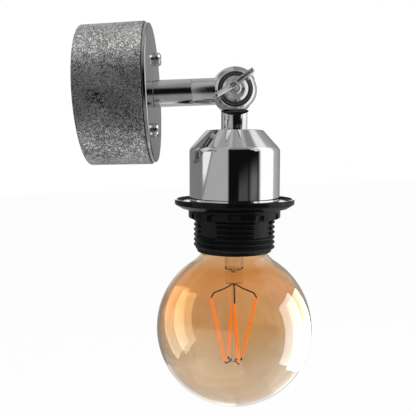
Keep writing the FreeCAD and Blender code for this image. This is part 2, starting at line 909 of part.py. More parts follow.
def make_neck_nipple():
    """Hollow threaded nipple that carries the cup and the holder under the neck."""
    start = neck_reach - nipple_engagement + nipple_end_gap
    end = cap_dome_top + cap_dome_thread
    nipple = rod_down(nipple_radius, start, end)
    bore = rod_down(nipple_bore_radius, start - cut_margin, end + cut_margin)
    return in_head(as_solid(nipple.cut(bore)))


def make_cup():
    """Spun metal cup: flat top, cone, rounded shoulder, straight wall and a rolled lip."""
    wall = cup_wall
    shoulder = cup_top + cup_cone_height
    cone_inset = wall * cup_cone_share
    cup = turned_down(
        [
            (nipple_hole_radius, cup_top),
            (cup_top_radius, cup_top, cup_top_round),
            (cup_radius, shoulder, cup_shoulder_round),
            (cup_radius, cup_bottom - cup_lip_height, cup_lip_blend),
            (cup_radius + cup_lip_flare, cup_bottom, cup_lip_round),
            (cup_radius + cup_lip_flare - wall, cup_bottom, cup_lip_round),
            (cup_radius - wall, cup_bottom - cup_lip_height, cup_lip_blend),
            (cup_radius - wall, shoulder + cone_inset, cup_shoulder_round - wall),
            (cup_top_radius - cone_inset, cup_top + wall, small_round),
            (nipple_hole_radius, cup_top + wall),
        ]
    )
    return in_head(cup)


def make_cup_washer():
    """Washer inside the cup."""
    washer = rod_down(washer_radius, cup_inside_top, cup_inside_top + washer_thickness)
    return in_head(as_solid(washer.cut(rod_down(nipple_hole_radius, 0, cup_bottom))))


def make_cup_nut():
    """Hexagon nut that clamps the cup to the neck."""
    nut = hexagon_nut(nipple_hole_radius)
    return in_head(turned_to(nut, FreeCAD.Vector(0, 0, -1), FreeCAD.Vector(0, 0, -cup_nut_top)))


def make_holder_cap():
    """Moulded cap of the holder: threaded on the nipple, it clamps the core into the skirt."""
    side_start = cap_dome_top + cap_dome_slope
    shoulder = skirt_top - core_clearance
    spigot_end = shoulder + cap_dome_spigot_length
    bore = core_radius + 2 * core_clearance
    rim = core_top - core_clearance
    ceiling = cap_dome_top + cap_dome_wall
    cap = turned_down(
        [
            (nipple_hole_radius, cap_dome_top),
            (cap_dome_top_radius, cap_dome_top, cap_dome_top_round),
            (cap_dome_radius, side_start, cap_dome_round),
            (cap_dome_radius, shoulder, small_round),
            (cap_dome_spigot_radius, shoulder),
            (cap_dome_spigot_radius, spigot_end, edge_round),
            (bore, spigot_end, fine_round),
            (bore, rim),
            (core_radius - cap_dome_rim, rim),
            (core_radius - cap_dome_rim, side_start, cap_dome_inside_round),
            (cap_dome_top_radius - cap_dome_corner, ceiling, cap_dome_corner),
            (cap_dome_collar_radius, ceiling, soft_round),
            (cap_dome_collar_radius, cap_dome_top + cap_dome_thread, edge_round),
            (nipple_hole_radius, cap_dome_top + cap_dome_thread),
        ]
    )
    return in_head(cap)


def make_holder_core():
    """Glazed insulating core: a disc for the terminals and a tube for the screw shell."""
    bore = screw_shell_radius + core_clearance
    core = turned_down(
        [
            (0, core_top),
            (core_radius, core_top, soft_round),
            (core_radius, core_bottom, edge_round),
            (bore, core_bottom, edge_round),
            (bore, core_underside, edge_round),
            (0, core_underside),
        ]
    )
    for side in (-1, 1):
        core = core.cut(rod_down(rivet_radius + thread_clearance, core_top - cut_margin,
                                 core_underside + cut_margin, 0, side * terminal_distance))
    return in_head(as_solid(core))


def make_holder_terminals():
    """Two brass terminals on the core, each with its rivet down to a contact."""
    terminals = []
    for side in (-1, 1):
        y = side * terminal_distance
        half_depth = terminal_depth / 2
        body = block(-terminal_width / 2, terminal_width / 2, y - half_depth, y + half_depth,
                     -core_top, -core_top + terminal_height)
        body = body.makeFillet(terminal_edge_round, edges_along(body, FreeCAD.Vector(0, 0, 1)))
        rivet_end = core_underside + rivet_past_core
        body = body.fuse(rod_down(rivet_radius, core_top - cut_margin, rivet_end, 0, y))
        hole_start = FreeCAD.Vector(wire_offset, y - half_depth - cut_margin, wire_entry_height())
        hole = Part.makeCylinder(wire_radius + terminal_wire_clearance, terminal_depth + 2 * cut_margin,
                                 hole_start, FreeCAD.Vector(0, 1, 0))
        body = body.cut(hole)
        hole_end = core_top - terminal_height + terminal_screw_length + running_clearance
        screw_hole = rod_down(terminal_screw_radius + thread_clearance,
                              core_top - terminal_height - cut_margin, hole_end, 0, y)
        terminals.append(as_solid(body.cut(screw_hole)))
    return in_head(Part.makeCompound(terminals))


def wire_entry_height():
    """Z of the wires where they enter the holder's terminals."""
    return -core_top + terminal_height / 2


def make_terminal_head_screws():
    """The clamping screws of the holder's two terminals."""
    screw = screw_about_z(terminal_screw_radius, terminal_screw_length, terminal_screw_head_radius,
                          terminal_screw_head_height, soft_round)
    up = FreeCAD.Vector(0, 0, 1)
    height = -core_top + terminal_height
    places = [FreeCAD.Vector(0, side * terminal_distance, height) for side in (-1, 1)]
    return in_head(Part.makeCompound([turned_to(screw, up, place) for place in places]))


def make_head_wires():
    """Two wires from the neck's half ball down to the holder's terminals."""
    wires = []
    for side in (-1, 1):
        inner_face = terminal_distance - terminal_depth / 2
        points = [
            FreeCAD.Vector(wire_offset, side * wire_spread, -chamber_boss_radius - wire_end_gap),
            FreeCAD.Vector(wire_offset, side * wire_spread, wire_entry_height()),
            FreeCAD.Vector(wire_offset, side * (inner_face + terminal_wire_depth), wire_entry_height()),
        ]
        wires.append(round_wire(points, wire_radius, terminal_wire_bend))
    return in_head(Part.makeCompound(wires))


def make_screw_shell():
    """Brass screw shell that takes the bulb's cap."""
    shell = rod_down(screw_shell_radius, screw_shell_top, screw_shell_top + screw_shell_length)
    return in_head(as_solid(shell.cut(rod_down(screw_shell_bore_radius, 0, skirt_bottom))))


def make_centre_contact():
    """Springy brass tongue that meets the tip of the bulb."""
    underside = -core_underside
    low = underside - contact_rise
    width = contact_width / 2
    upper = [
        (-contact_half_length, underside),
        (-contact_half_length + contact_foot, underside, contact_bend),
        (-contact_ramp_end, low, contact_bend),
        (contact_half_length - contact_tip, low, contact_bend),
    ]
    lower = [(along, height - contact_thickness, contact_bend) for along, height, *_ in reversed(upper)]
    face = outline_face(upper + lower, lambda along, z: FreeCAD.Vector(-width, along, z))
    return in_head(as_solid(face.extrude(FreeCAD.Vector(contact_width, 0, 0))))


def make_holder_skirt():
    """Moulded skirt of the holder: it carries the shade ring's thread on its outside."""
    band_radius = skirt_radius - skirt_band_step
    band_top = skirt_bottom - skirt_band_height
    upper_bore = core_radius + 2 * core_clearance
    thread_bore = cap_dome_spigot_radius + thread_clearance
    thread_end = skirt_top + cap_dome_spigot_length + core_clearance
    skirt = turned_down(
        [
            (thread_bore, skirt_top, fine_round),
            (skirt_radius, skirt_top, soft_round),
            (skirt_radius, band_top, soft_round),
            (band_radius, band_top + soft_round, edge_round),
            (band_radius, skirt_bottom, soft_round),
            (skirt_bore_radius, skirt_bottom, soft_round),
            (skirt_bore_radius, ledge_top + ledge_thickness, edge_round),
            (ledge_bore_radius, ledge_top + ledge_thickness, edge_round),
            (ledge_bore_radius, ledge_top, edge_round),
            (upper_bore, ledge_top),
            (upper_bore, thread_end),
            (thread_bore, thread_end),
        ]
    )
    return in_head(skirt)


def make_shade_ring():
    """Screwed ring that holds a shade: dished flange, upturned lip and a gripped collar."""
    bore = skirt_radius + ring_clearance
    lip_top = ring_floor - ring_lip_height
    edge = ring_floor + ring_floor_thickness
    underside = edge + ring_underside_height
    collar_end = underside + ring_collar_height
    ring = turned_down(
        [
            (bore, ring_floor, small_round),
            (ring_radius - ring_lip_width, ring_floor, edge_round),
            (ring_radius - ring_lip_width + ring_lip_draft, lip_top, edge_round),
            (ring_radius, lip_top, edge_round),
            (ring_radius, edge, ring_collar_blend),
            (ring_underside_radius, underside, ring_underside_round),
            (ring_collar_radius, underside + ring_collar_blend, ring_collar_blend),
            (ring_collar_radius, collar_end, ring_collar_blend),
            (bore, collar_end, edge_round),
        ]
    )
    inner = ring_collar_radius - ring_notch_depth
    notch = block(inner, ring_collar_radius + cut_margin, -ring_notch_width / 2, ring_notch_width / 2,
                  -collar_end - cut_margin, -underside - ring_notch_start)
    for step in range(ring_notch_count):
        cutter = notch.copy()
        cutter.rotate(FreeCAD.Vector(), FreeCAD.Vector(0, 0, 1), step * 360 / ring_notch_count)
        ring = ring.cut(cutter)
    return in_head(as_solid(ring))


def make_cap_contact():
    """Solder contact at the tip of the bulb's cap."""
    contact = turned_down(
        [
            (0, cap_tip),
            (cap_contact_radius, cap_tip, cap_contact_round),
            (cap_contact_radius, insulator_top),
            (0, insulator_top),
        ]
    )
    return in_head(contact)


def make_cap_insulator():
    """Insulating cone between the contact and the cap's shell."""
    insulator_bottom = cap_thread_top + cap_insulator_depth
    insulator = turned_down(
        [
            (0, insulator_top),
            (cap_contact_radius + cap_insulator_rim, insulator_top, edge_round),
            (cap_insulator_radius, cap_thread_top - cap_insulator_lip, cap_insulator_round),
            (cap_insulator_radius, insulator_bottom),
            (0, insulator_bottom),
        ]
    )
    return in_head(insulator)


def make_bulb_cap():
    """Metal shell of the bulb's screw cap with the collar round the glass neck."""
    radius = cap_thread_radius
    sheet = cap_sheet
    glass_bore = cap_collar_radius - sheet
    rim_bore = cap_insulator_radius + cap_rim_clearance
    cap = turned_down(
        [
            (rim_bore, cap_thread_top, hairline_round),
            (radius, cap_thread_top, cap_rim_round),
            (radius, cap_collar_top - cap_thread_blend, small_round),
            (cap_collar_radius, cap_collar_top, cap_thread_blend),
            (cap_collar_radius, cap_bottom, hairline_round),
            (glass_bore, cap_bottom, hairline_round),
            (glass_bore, cap_collar_top + sheet, small_round),
            (radius - sheet, cap_collar_top + sheet - cap_thread_blend, fine_round),
            (radius - sheet, cap_thread_top + sheet, cap_rim_round - sheet),
            (rim_bore, cap_thread_top + sheet),
        ]
    )
    return in_head(cap)


def make_driver_board():
    """Small driver board that stands inside the bulb's cap."""
    half = driver_width / 2
    top = cap_thread_top + driver_depth
    face = driver_thickness / 2
    board = block(-half, half, -face, face, -top - driver_height, -top)
    foot = FreeCAD.Vector(capacitor_across, driver_part_thickness, -top - capacitor_end)
    capacitor = Part.makeCylinder(driver_part_thickness, capacitor_length, foot)
    choke = block(choke_left, choke_right, 0, driver_part_thickness,
                  -top - choke_end, -top - choke_start)
    bridge = block(bridge_left, bridge_right, -face - bridge_height, 0,
                   -top - bridge_end, -top - bridge_start)
    return in_head(as_solid(board.fuse(capacitor).fuse(choke).fuse(bridge).removeSplitter()))


def blown_form(radius, neck, blend, top):
    """Solid of revolution that follows a globe from its neck to its lowest point."""
    sweep = neck + blend
    rise = math.sqrt((radius + blend) ** 2 - sweep ** 2)
    sweep_down = globe_drop - rise
    share = radius / (radius + blend)
    join = (sweep * share, globe_drop - rise * share)
    middle_angle = math.atan2(rise, sweep) / 2
    middle = (sweep - blend * math.cos(middle_angle), sweep_down + blend * math.sin(middle_angle))
    slope = math.atan2(join[1] - globe_drop, join[0])
    side_angle = (slope + math.pi / 2) / 2
    side = (radius * math.cos(side_angle), globe_drop + radius * math.sin(side_angle))

    def point(pair):
        return FreeCAD.Vector(pair[0], 0, -pair[1])

    neck_end = (neck, sweep_down)
    lowest = (0, globe_drop + radius)
    edges = [
        Part.LineSegment(point((0, top)), point((neck, top))).toShape(),
        Part.LineSegment(point((neck, top)), point(neck_end)).toShape(),
        Part.Arc(point(neck_end), point(middle), point(join)).toShape(),
        Part.Arc(point(join), point(side), point(lowest)).toShape(),
        Part.LineSegment(point(lowest), point((0, top))).toShape(),
    ]
    wire = Part.Wire(Part.sortEdges(edges)[0])
    return Part.Face(wire).revolve(FreeCAD.Vector(), FreeCAD.Vector(0, 0, 1), 360)


def make_glass_globe():
    """Blown glass globe with its neck, one even wall."""
    outer = blown_form(globe_radius, globe_neck_radius, globe_neck_blend, glass_top)
    inner = blown_form(globe_radius - glass_wall, globe_neck_radius - glass_wall,
                       globe_neck_blend + glass_wall, glass_top - cap_sheet)
    return in_head(as_solid(outer.cut(inner)))


def make_glass_stem():
    """Inner glass stem: flare, tube and the flattened press that holds the lead wires."""
    wall = stem_tube_wall
    flare = glass_top + stem_flare_inset
    tube_top = flare + stem_flare_height
    press_top = stem_end_drop - stem_press_height
    stem = turned_down(
        [
            (stem_flare_radius - wall, flare),
            (stem_flare_radius, flare, small_round),
            (stem_tube_radius, tube_top, stem_flare_bend),
            (stem_tube_radius, press_top),
            (0, press_top + 2 * stem_tube_floor),
            (0, press_top + stem_tube_floor),
            (stem_tube_radius - wall, press_top - stem_tube_dome, edge_round),
            (stem_tube_radius - wall, tube_top, stem_flare_bend + wall),
        ]
    )
    half_width = stem_press_width / 2
    half_thickness = stem_press_thickness / 2
    press = block(-half_thickness, half_thickness, -half_width, half_width,
                  -stem_end_drop, -press_top)
    press = press.makeFillet(stem_press_round, edges_along(press, FreeCAD.Vector(0, 0, 1)))
    return in_head(as_solid(stem.fuse(press).removeSplitter()))


def make_stem_rod():
    """Glass rod that carries the lower filament wires."""
    rod = turned_down(
        [
            (0, stem_end_drop),
            (rod_radius, stem_end_drop),
            (rod_radius, rod_end_drop, soft_round),
            (0, rod_end_drop),
        ]
    )
    return in_head(rod)


def filament_ends():
    """Upper and lower end of each filament, in the head's own frame."""
    ends = []
    for step in range(filament_count):
        top_angle = math.radians(step * 360 / filament_count)
        low_angle = top_angle + math.radians(filament_twist)
        top = FreeCAD.Vector(filament_top_circle * math.cos(top_angle),
                             filament_top_circle * math.sin(top_angle), -filament_top_drop)
        low = FreeCAD.Vector(filament_bottom_circle * math.cos(low_angle),
                             filament_bottom_circle * math.sin(low_angle), -filament_bottom_drop)
        ends.append((top, low))
    return ends


def make_filaments():
    """Straight filaments, leaning in towards the rod."""
    filaments = []
    for top, low in filament_ends():
        along = low - top
        filaments.append(Part.makeCylinder(filament_radius, along.Length, top, along))
    return in_head(Part.makeCompound(filaments))


def make_filament_wires():
    """Bent wires that hold the filaments: upper ones from the press, lower ones from the rod."""
    wires = []
    for top, low in filament_ends():
        lean = (low - top).normalize()
        upper_end = top - lean * filament_wire_gap
        across = FreeCAD.Vector(upper_end.x, upper_end.y, 0).normalize()
        down = FreeCAD.Vector(0, 0, -1)
        start = across * (rod_radius + filament_wire_gap + filament_wire_radius) + down * stem_end_drop
        turn = start + down * wire_straight
        knee = across * wire_knee_radius + down * (stem_end_drop + wire_knee_drop)
        elbow = across * (filament_top_circle * wire_elbow_share)
        elbow.z = upper_end.z + wire_elbow_rise
        upper = [start, turn, knee, elbow, upper_end]
        wires.append(round_wire(upper, filament_wire_radius, wire_upper_bend))
        lower_end = low + lean * filament_wire_gap
        inward = FreeCAD.Vector(-lower_end.x, -lower_end.y, 0).normalize()
        knee = lower_end + lean * wire_hold_rise + inward * wire_hold_inset
        hold = inward * -(rod_radius + filament_wire_gap)
        hold.z = -rod_end_drop + wire_hold_rise
        wires.append(round_wire([lower_end, knee, hold], filament_wire_radius, wire_lower_bend))
    return in_head(Part.makeCompound(wires))


MAKERS = {
    "drum_housing": make_drum_housing,
    "front_plate": make_front_plate,
    "cover_screws": make_cover_screws,
    "terminal_block": make_terminal_block,
    "terminal_tubes": make_terminal_tubes,
    "terminal_screws": make_terminal_screws,
    "block_screw": make_block_screw,
    "earth_screw": make_earth_screw,
    "earth_washer": make_earth_washer,
    "arm_nipple": make_arm_nipple,
    "arm_washer": make_arm_washer,
    "arm_nut": make_arm_nut,
    "arm_tube": make_arm_tube,
    "knuckle_arm_half": make_knuckle_arm_half,
    "arm_wires": make_arm_wires,
    "knuckle_head_half": make_knuckle_head_half,
    "knuckle_washer": make_knuckle_washer,
    "wing_screw": make_wing_screw,
    "neck_nipple": make_neck_nipple,
    "cup": make_cup,
    "cup_washer": make_cup_washer,
    "cup_nut": make_cup_nut,
    "holder_cap": make_holder_cap,
    "holder_core": make_holder_core,
    "holder_terminals": make_holder_terminals,
    "holder_terminal_screws": make_terminal_head_screws,
    "head_wires": make_head_wires,
    "screw_shell": make_screw_shell,
    "centre_contact": make_centre_contact,
    "holder_skirt": make_holder_skirt,
    "shade_ring": make_shade_ring,
    "cap_contact": make_cap_contact,
    "cap_insulator": make_cap_insulator,
    "bulb_cap": make_bulb_cap,
    "driver_board": make_driver_board,
    "glass_globe": make_glass_globe,
    "glass_stem": make_glass_stem,
    "stem_rod": make_stem_rod,
    "filaments": make_filaments,
    "filament_wires": make_filament_wires,
}

os.makedirs("parts", exist_ok=True)
for name, maker in MAKERS.items():
    shape = maker()
    volumes = ", ".join(f"{solid.Volume:.1f}" for solid in shape.Solids)
    print(f"{name}: {len(shape.Solids)} solids, valid {shape.isValid()}, volume {volumes}")
    shape.exportStep(f"parts/{name}.step")
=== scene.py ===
import logging
import math
from dataclasses import dataclass, field
from enum import Enum

import bmesh
import bpy
from mathutils import Matrix, Vector


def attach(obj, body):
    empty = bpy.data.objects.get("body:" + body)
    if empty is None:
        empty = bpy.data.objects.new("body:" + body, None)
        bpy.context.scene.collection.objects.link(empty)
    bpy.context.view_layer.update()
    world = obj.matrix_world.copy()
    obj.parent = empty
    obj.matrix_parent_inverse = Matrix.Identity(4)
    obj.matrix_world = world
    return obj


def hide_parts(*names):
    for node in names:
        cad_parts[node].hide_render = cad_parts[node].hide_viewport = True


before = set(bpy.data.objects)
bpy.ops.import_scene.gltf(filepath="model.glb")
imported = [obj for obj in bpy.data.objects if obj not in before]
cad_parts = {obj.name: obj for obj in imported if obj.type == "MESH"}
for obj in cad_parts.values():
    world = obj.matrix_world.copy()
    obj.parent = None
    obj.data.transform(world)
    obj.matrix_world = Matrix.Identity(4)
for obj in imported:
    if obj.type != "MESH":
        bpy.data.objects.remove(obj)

LOG = logging.getLogger("wall_light")
MM = 0.001

# Where the knuckle's ball sits and how far the head leans towards the wall
BALL = Vector((0.0, -72.3, 0.0))
HEAD_TILT = math.radians(2.1)

# Radius of the hole that a nipple runs through, in millimetres
NIPPLE_BORE = 5.05

# The range that most of a noise lies in, and a closer one for more contrast
MIDRANGE = (0.3, 0.7)
CLOSE_RANGE = (0.35, 0.65)

# How strongly glass bends light
GLASS_IOR = 1.47

# A rounding takes at most this share of a run, and a turn below this angle is left alone
RUN_SHARE = 0.49
STRAIGHT = 0.02

# Points nearer to the axis than this, in millimetres, are one point on it
ON_AXIS = 1e-6

# Points nearer to each other than this, in millimetres, are merged
MERGED = 1e-5

# Takes +Z to -X, for a piece that is made about the origin and moved later
SIDEWAYS = Matrix(((0, 0, -1, 0), (1, 0, 0, 0), (0, 1, 0, 0), (0, 0, 0, 1)))


def head_place(unit: float = 1.0) -> Matrix:
    """Placement of the leaning head on the knuckle's ball: in millimetres, or in metres with MM."""
    return Matrix.Translation(BALL * unit) @ Matrix.Rotation(HEAD_TILT, 4, "X")


class Axis(Enum):
    """The three lines that the turned pieces are turned about."""

    OUT = "out of the wall"
    DOWN = "down the head"
    SIDE = "along the knuckle's screw"

    def matrix(self) -> Matrix:
        """Placement, in millimetres, of a piece made about +Z.

        Returns:
            A matrix that takes +Z to this axis.
        """
        if self is Axis.OUT:
            return Matrix.Rotation(math.pi / 2, 4, "X")
        if self is Axis.DOWN:
            return head_place() @ Matrix.Rotation(math.pi, 4, "X")
        return head_place() @ Matrix.Rotation(-math.pi / 2, 4, "Y")


class Corner(Enum):
    """How many facets a rounded corner gets."""

    FINE = 6
    SMOOTH = 12


# Outlines and meshes


def rounded(corners: list[tuple], facets: Corner = Corner.FINE, hold: float = 0.12) -> list[Vector]:
    """Rounds the corners of an open or closed outline.

    Args:
        corners: Points as (across, along) or (across, along, rounding), in millimetres.
        facets: How many facets each rounding gets.
        hold: Distance from a rounding to the extra point that keeps the straight run flat.

    Returns:
        The outline's points in order.
    """
    points: list[Vector] = []
    count = len(corners)
    for index, corner in enumerate(corners):
        here = Vector(corner[:2])
        radius = corner[2] if len(corner) > 2 else 0.0
        before = Vector(corners[index - 1][:2]) if index else None
        after = Vector(corners[index + 1][:2]) if index < count - 1 else None
        if not radius or before is None or after is None:
            points.append(here)
            continue
        back, ahead = before - here, after - here
        room = RUN_SHARE * min(back.length, ahead.length)
        back.normalize()
        ahead.normalize()
        opening = math.acos(max(-1.0, min(1.0, back.dot(ahead))))
        if math.pi - opening < STRAIGHT:
            points.append(here)
            continue
        trim = min(radius / math.tan(opening / 2), room)
        radius = trim * math.tan(opening / 2)
        centre = here + (back + ahead).normalized() * (radius / math.sin(opening / 2))
        start, end = here + back * trim, here + ahead * trim
        if trim + hold < room:
            points.append(start + back * hold)
        first, last = start - centre, end - centre
        sweep = first.angle_signed(last)
        for step in range(facets.value + 1):
            angle = -sweep * step / facets.value
            cosine, sine = math.cos(angle), math.sin(angle)
            swung = Vector((first.x * cosine - first.y * sine, first.x * sine + first.y * cosine))
            points.append(centre + swung)
        if trim + hold < room:
            points.append(end + ahead * hold)
    return points


def new_piece(name: str, mesh: bmesh.types.BMesh, sharp: float = 40.0) -> bpy.types.Object:
    """Makes an object of a mesh in millimetres.

    Args:
        name: The piece's name.
        mesh: The mesh, which is freed.
        sharp: Edges that turn by more than this many degrees stay sharp.

    Returns:
        The new object, linked to the scene, in metres.
    """
    bmesh.ops.remove_doubles(mesh, verts=mesh.verts, dist=MERGED)
    bmesh.ops.recalc_face_normals(mesh, faces=mesh.faces)
    data = bpy.data.meshes.new(name)
    mesh.to_mesh(data)
    mesh.free()
    data.transform(Matrix.Scale(MM, 4))
    data.shade_smooth()
    data.set_sharp_from_angle(angle=math.radians(sharp))
    piece = bpy.data.objects.new(name, data)
    bpy.context.scene.collection.objects.link(piece)
    return piece


def skinned(mesh: bmesh.types.BMesh, rings: list[list[bmesh.types.BMVert]], closed: bool) -> None:
    """Puts faces between rings of points.

    Args:
        mesh: The mesh that the points are in.
        rings: Rings of the same number of points; a ring on the axis repeats one point.
        closed: Whether the last ring joins the first.
    """
    pairs = list(zip(rings, rings[1:]))
    if closed:
        pairs.append((rings[-1], rings[0]))
    for lower, upper in pairs:
        for step, point in enumerate(lower):
            after = (step + 1) % len(lower)
            unique = list(dict.fromkeys([point, lower[after], upper[after], upper[step]]))
            if len(unique) > 2:
                mesh.faces.new(unique)


def ringed(rows: list[tuple[list[float], float]], place: Matrix,
           closed: bool = True) -> bmesh.types.BMesh:
    """Joins rings round +Z, whose radius may vary from point to point.

    Args:
        rows: Each ring's radii and its place along the axis, in millimetres.
        place: Takes +Z to the piece's own axis.
        closed: Whether the last ring joins the first.

    Returns:
        The mesh in its place, in millimetres.
    """
    mesh = bmesh.new()
    rings: list[list[bmesh.types.BMVert]] = []
    for radii, along in rows:
        if max(radii) < ON_AXIS:
            rings.append([mesh.verts.new(place @ Vector((0, 0, along)))] * len(radii))
            continue
        ring = []
        for step, radius in enumerate(radii):
            angle = 2 * math.pi * step / len(radii)
            point = Vector((radius * math.cos(angle), radius * math.sin(angle), along))
            ring.append(mesh.verts.new(place @ point))
        rings.append(ring)
    skinned(mesh, rings, closed)
    return mesh


def turned(outline: list[Vector], place: Matrix, segments: int = 128,
           closed: bool = True) -> bmesh.types.BMesh:
    """Turns an outline about +Z and puts it in its place.

    Args:
        outline: Points as (radius, along the axis), in millimetres.
        place: Takes +Z to the piece's own axis.
        segments: How many faces go round.
        closed: Whether the last point joins the first.

    Returns:
        The turned mesh, in millimetres.
    """
    return ringed([([radius] * segments, along) for radius, along in outline], place, closed)


def prism(outline: list[Vector], place: Matrix, low: float, high: float) -> bmesh.types.BMesh:
    """Extrudes a flat outline.

    Args:
        outline: The outline's points, in millimetres.
        place: Takes the outline's plane to its place.
        low: Where the prism starts, along the plane's normal.
        high: Where it ends.

    Returns:
        The closed prism.
    """
    mesh = bmesh.new()
    lower = [mesh.verts.new(place @ Vector((point.x, point.y, low))) for point in outline]
    upper = [mesh.verts.new(place @ Vector((point.x, point.y, high))) for point in outline]
    skinned(mesh, [lower, upper], False)
    mesh.faces.new(list(reversed(lower)))
    mesh.faces.new(upper)
    return mesh


def joined(meshes: list[bmesh.types.BMesh]) -> bmesh.types.BMesh:
    """Puts several meshes into one.

    Args:
        meshes: The meshes, which are freed.

    Returns:
        One mesh with all their faces.
    """
    whole = bmesh.new()
    for mesh in meshes:
        data = bpy.data.meshes.new("part")
        mesh.to_mesh(data)
        mesh.free()
        whole.from_mesh(data)
        bpy.data.meshes.remove(data)
    return whole


def lifted(piece: bpy.types.Object) -> bmesh.types.BMesh:
    """Takes a piece's mesh out and removes the piece.

    Args:
        piece: A piece, in metres.

    Returns:
        Its mesh, in millimetres.
    """
    mesh = bmesh.new()
    mesh.from_mesh(piece.data)
    bmesh.ops.scale(mesh, vec=Vector((1, 1, 1)) / MM, verts=mesh.verts)
    bpy.data.objects.remove(piece)
    return mesh


def faded(distance: float, length: float) -> float:
    """Rises from 0 to 1 over a length."""
    return min(1.0, max(0.0, distance / length))


def circle(radius: float, segments: int = 48, centre: Vector = Vector((0.0, 0.0))) -> list[Vector]:
    """Points round a circle, in millimetres."""
    step = 2 * math.pi / segments
    return [centre + Vector((math.cos(step * k), math.sin(step * k))) * radius for k in range(segments)]


def box_outline(width: float, height: float, centre: Vector = Vector((0.0, 0.0))) -> list[Vector]:
    """Corners of a rectangle, in millimetres."""
    signs = ((-1, -1), (1, -1), (1, 1), (-1, 1))
    return [centre + Vector((x * width / 2, y * height / 2)) for x, y in signs]


def swept(path: list[Vector], radius: float, place: Matrix, segments: int = 12) -> bmesh.types.BMesh:
    """A round wire along a path.

    Args:
        path: The points that the wire follows, in millimetres.
        radius: The wire's radius.
        place: Takes the path to its place.
        segments: How many faces go round.

    Returns:
        The wire's closed mesh.
    """
    mesh = bmesh.new()
    rings = []
    side = (path[1] - path[0]).orthogonal().normalized()
    for index, point in enumerate(path):
        ahead = path[min(index + 1, len(path) - 1)] - path[max(index - 1, 0)]
        ahead.normalize()
        side = (side - ahead * side.dot(ahead)).normalized()
        other = ahead.cross(side)
        ring = []
        for step in range(segments):
            angle = 2 * math.pi * step / segments
            offset = (side * math.cos(angle) + other * math.sin(angle)) * radius
            ring.append(mesh.verts.new(place @ (point + offset)))
        rings.append(ring)
    skinned(mesh, rings, False)
    mesh.faces.new(rings[0])
    mesh.faces.new(rings[-1])
    return mesh


class Cut(Enum):
    """What a second mesh does to the first."""

    AWAY = "DIFFERENCE"
    JOIN = "UNION"


def settled(piece: bpy.types.Object, sharp: float) -> None:
    """Makes a piece's modifiers part of its mesh.

    Args:
        piece: The piece to change.
        sharp: Edges that turn by more than this many degrees stay sharp.
    """
    graph = bpy.context.evaluated_depsgraph_get()
    data = bpy.data.meshes.new_from_object(piece.evaluated_get(graph))
    piece.modifiers.clear()
    piece.data = data
    data.shade_smooth()
    data.set_sharp_from_angle(angle=math.radians(sharp))


def shaped(piece: bpy.types.Object, tools: list[bmesh.types.BMesh], how: Cut,
           sharp: float = 40.0) -> bpy.types.Object:
    """Cuts a piece with other meshes, or joins them to it.

    Args:
        piece: The piece to change.
        tools: Closed meshes in millimetres, which are used up.
        how: Whether they are cut away or joined.
        sharp: Edges that turn by more than this many degrees stay sharp.

    Returns:
        The same piece with its new mesh.
    """
    helpers = [new_piece(f"{piece.name}_tool", tool) for tool in tools]
    for helper in helpers:
        change = piece.modifiers.new("shape", "BOOLEAN")
        change.operation = how.value
        change.solver = "EXACT"
        change.object = helper
    settled(piece, sharp)
    for helper in helpers:
        bpy.data.objects.remove(helper)
    return piece


def softened(piece: bpy.types.Object, width: float, steps: int = 3,
             angle: float = 35.0) -> bpy.types.Object:
    """Rounds a piece's sharp edges.

    Args:
        piece: The piece to change.
        width: The rounding's width, in millimetres.
        steps: How many facets the rounding gets.
        angle: Edges that turn by more than this many degrees are rounded.

    Returns:
        The same piece with its new mesh.
    """
    change = piece.modifiers.new("edges", "BEVEL")
    change.width = width * MM
    change.segments = steps
    change.limit_method = "ANGLE"
    change.angle_limit = math.radians(angle)
    settled(piece, angle)
    return piece


# Node writing


class Value:
    """A node's output socket that takes part in Python expressions."""

    def __init__(self, graph: "Graph", socket: bpy.types.NodeSocket | None) -> None:
        """Wraps a socket of a graph."""
        self.graph = graph
        self.socket = socket

    def __add__(self, other: "Value | float") -> "Value":
        """self + other."""
        return self.graph.math("ADD", self, other)

    def __radd__(self, other: float) -> "Value":
        """other + self."""
        return self.graph.math("ADD", other, self)

    def __sub__(self, other: "Value | float") -> "Value":
        """self - other."""
        return self.graph.math("SUBTRACT", self, other)

    def __rsub__(self, other: float) -> "Value":
        """other - self."""
        return self.graph.math("SUBTRACT", other, self)

    def __mul__(self, other: "Value | float") -> "Value":
        """self * other."""
        return self.graph.math("MULTIPLY", self, other)

    def __rmul__(self, other: float) -> "Value":
        """other * self."""
        return self.graph.math("MULTIPLY", other, self)


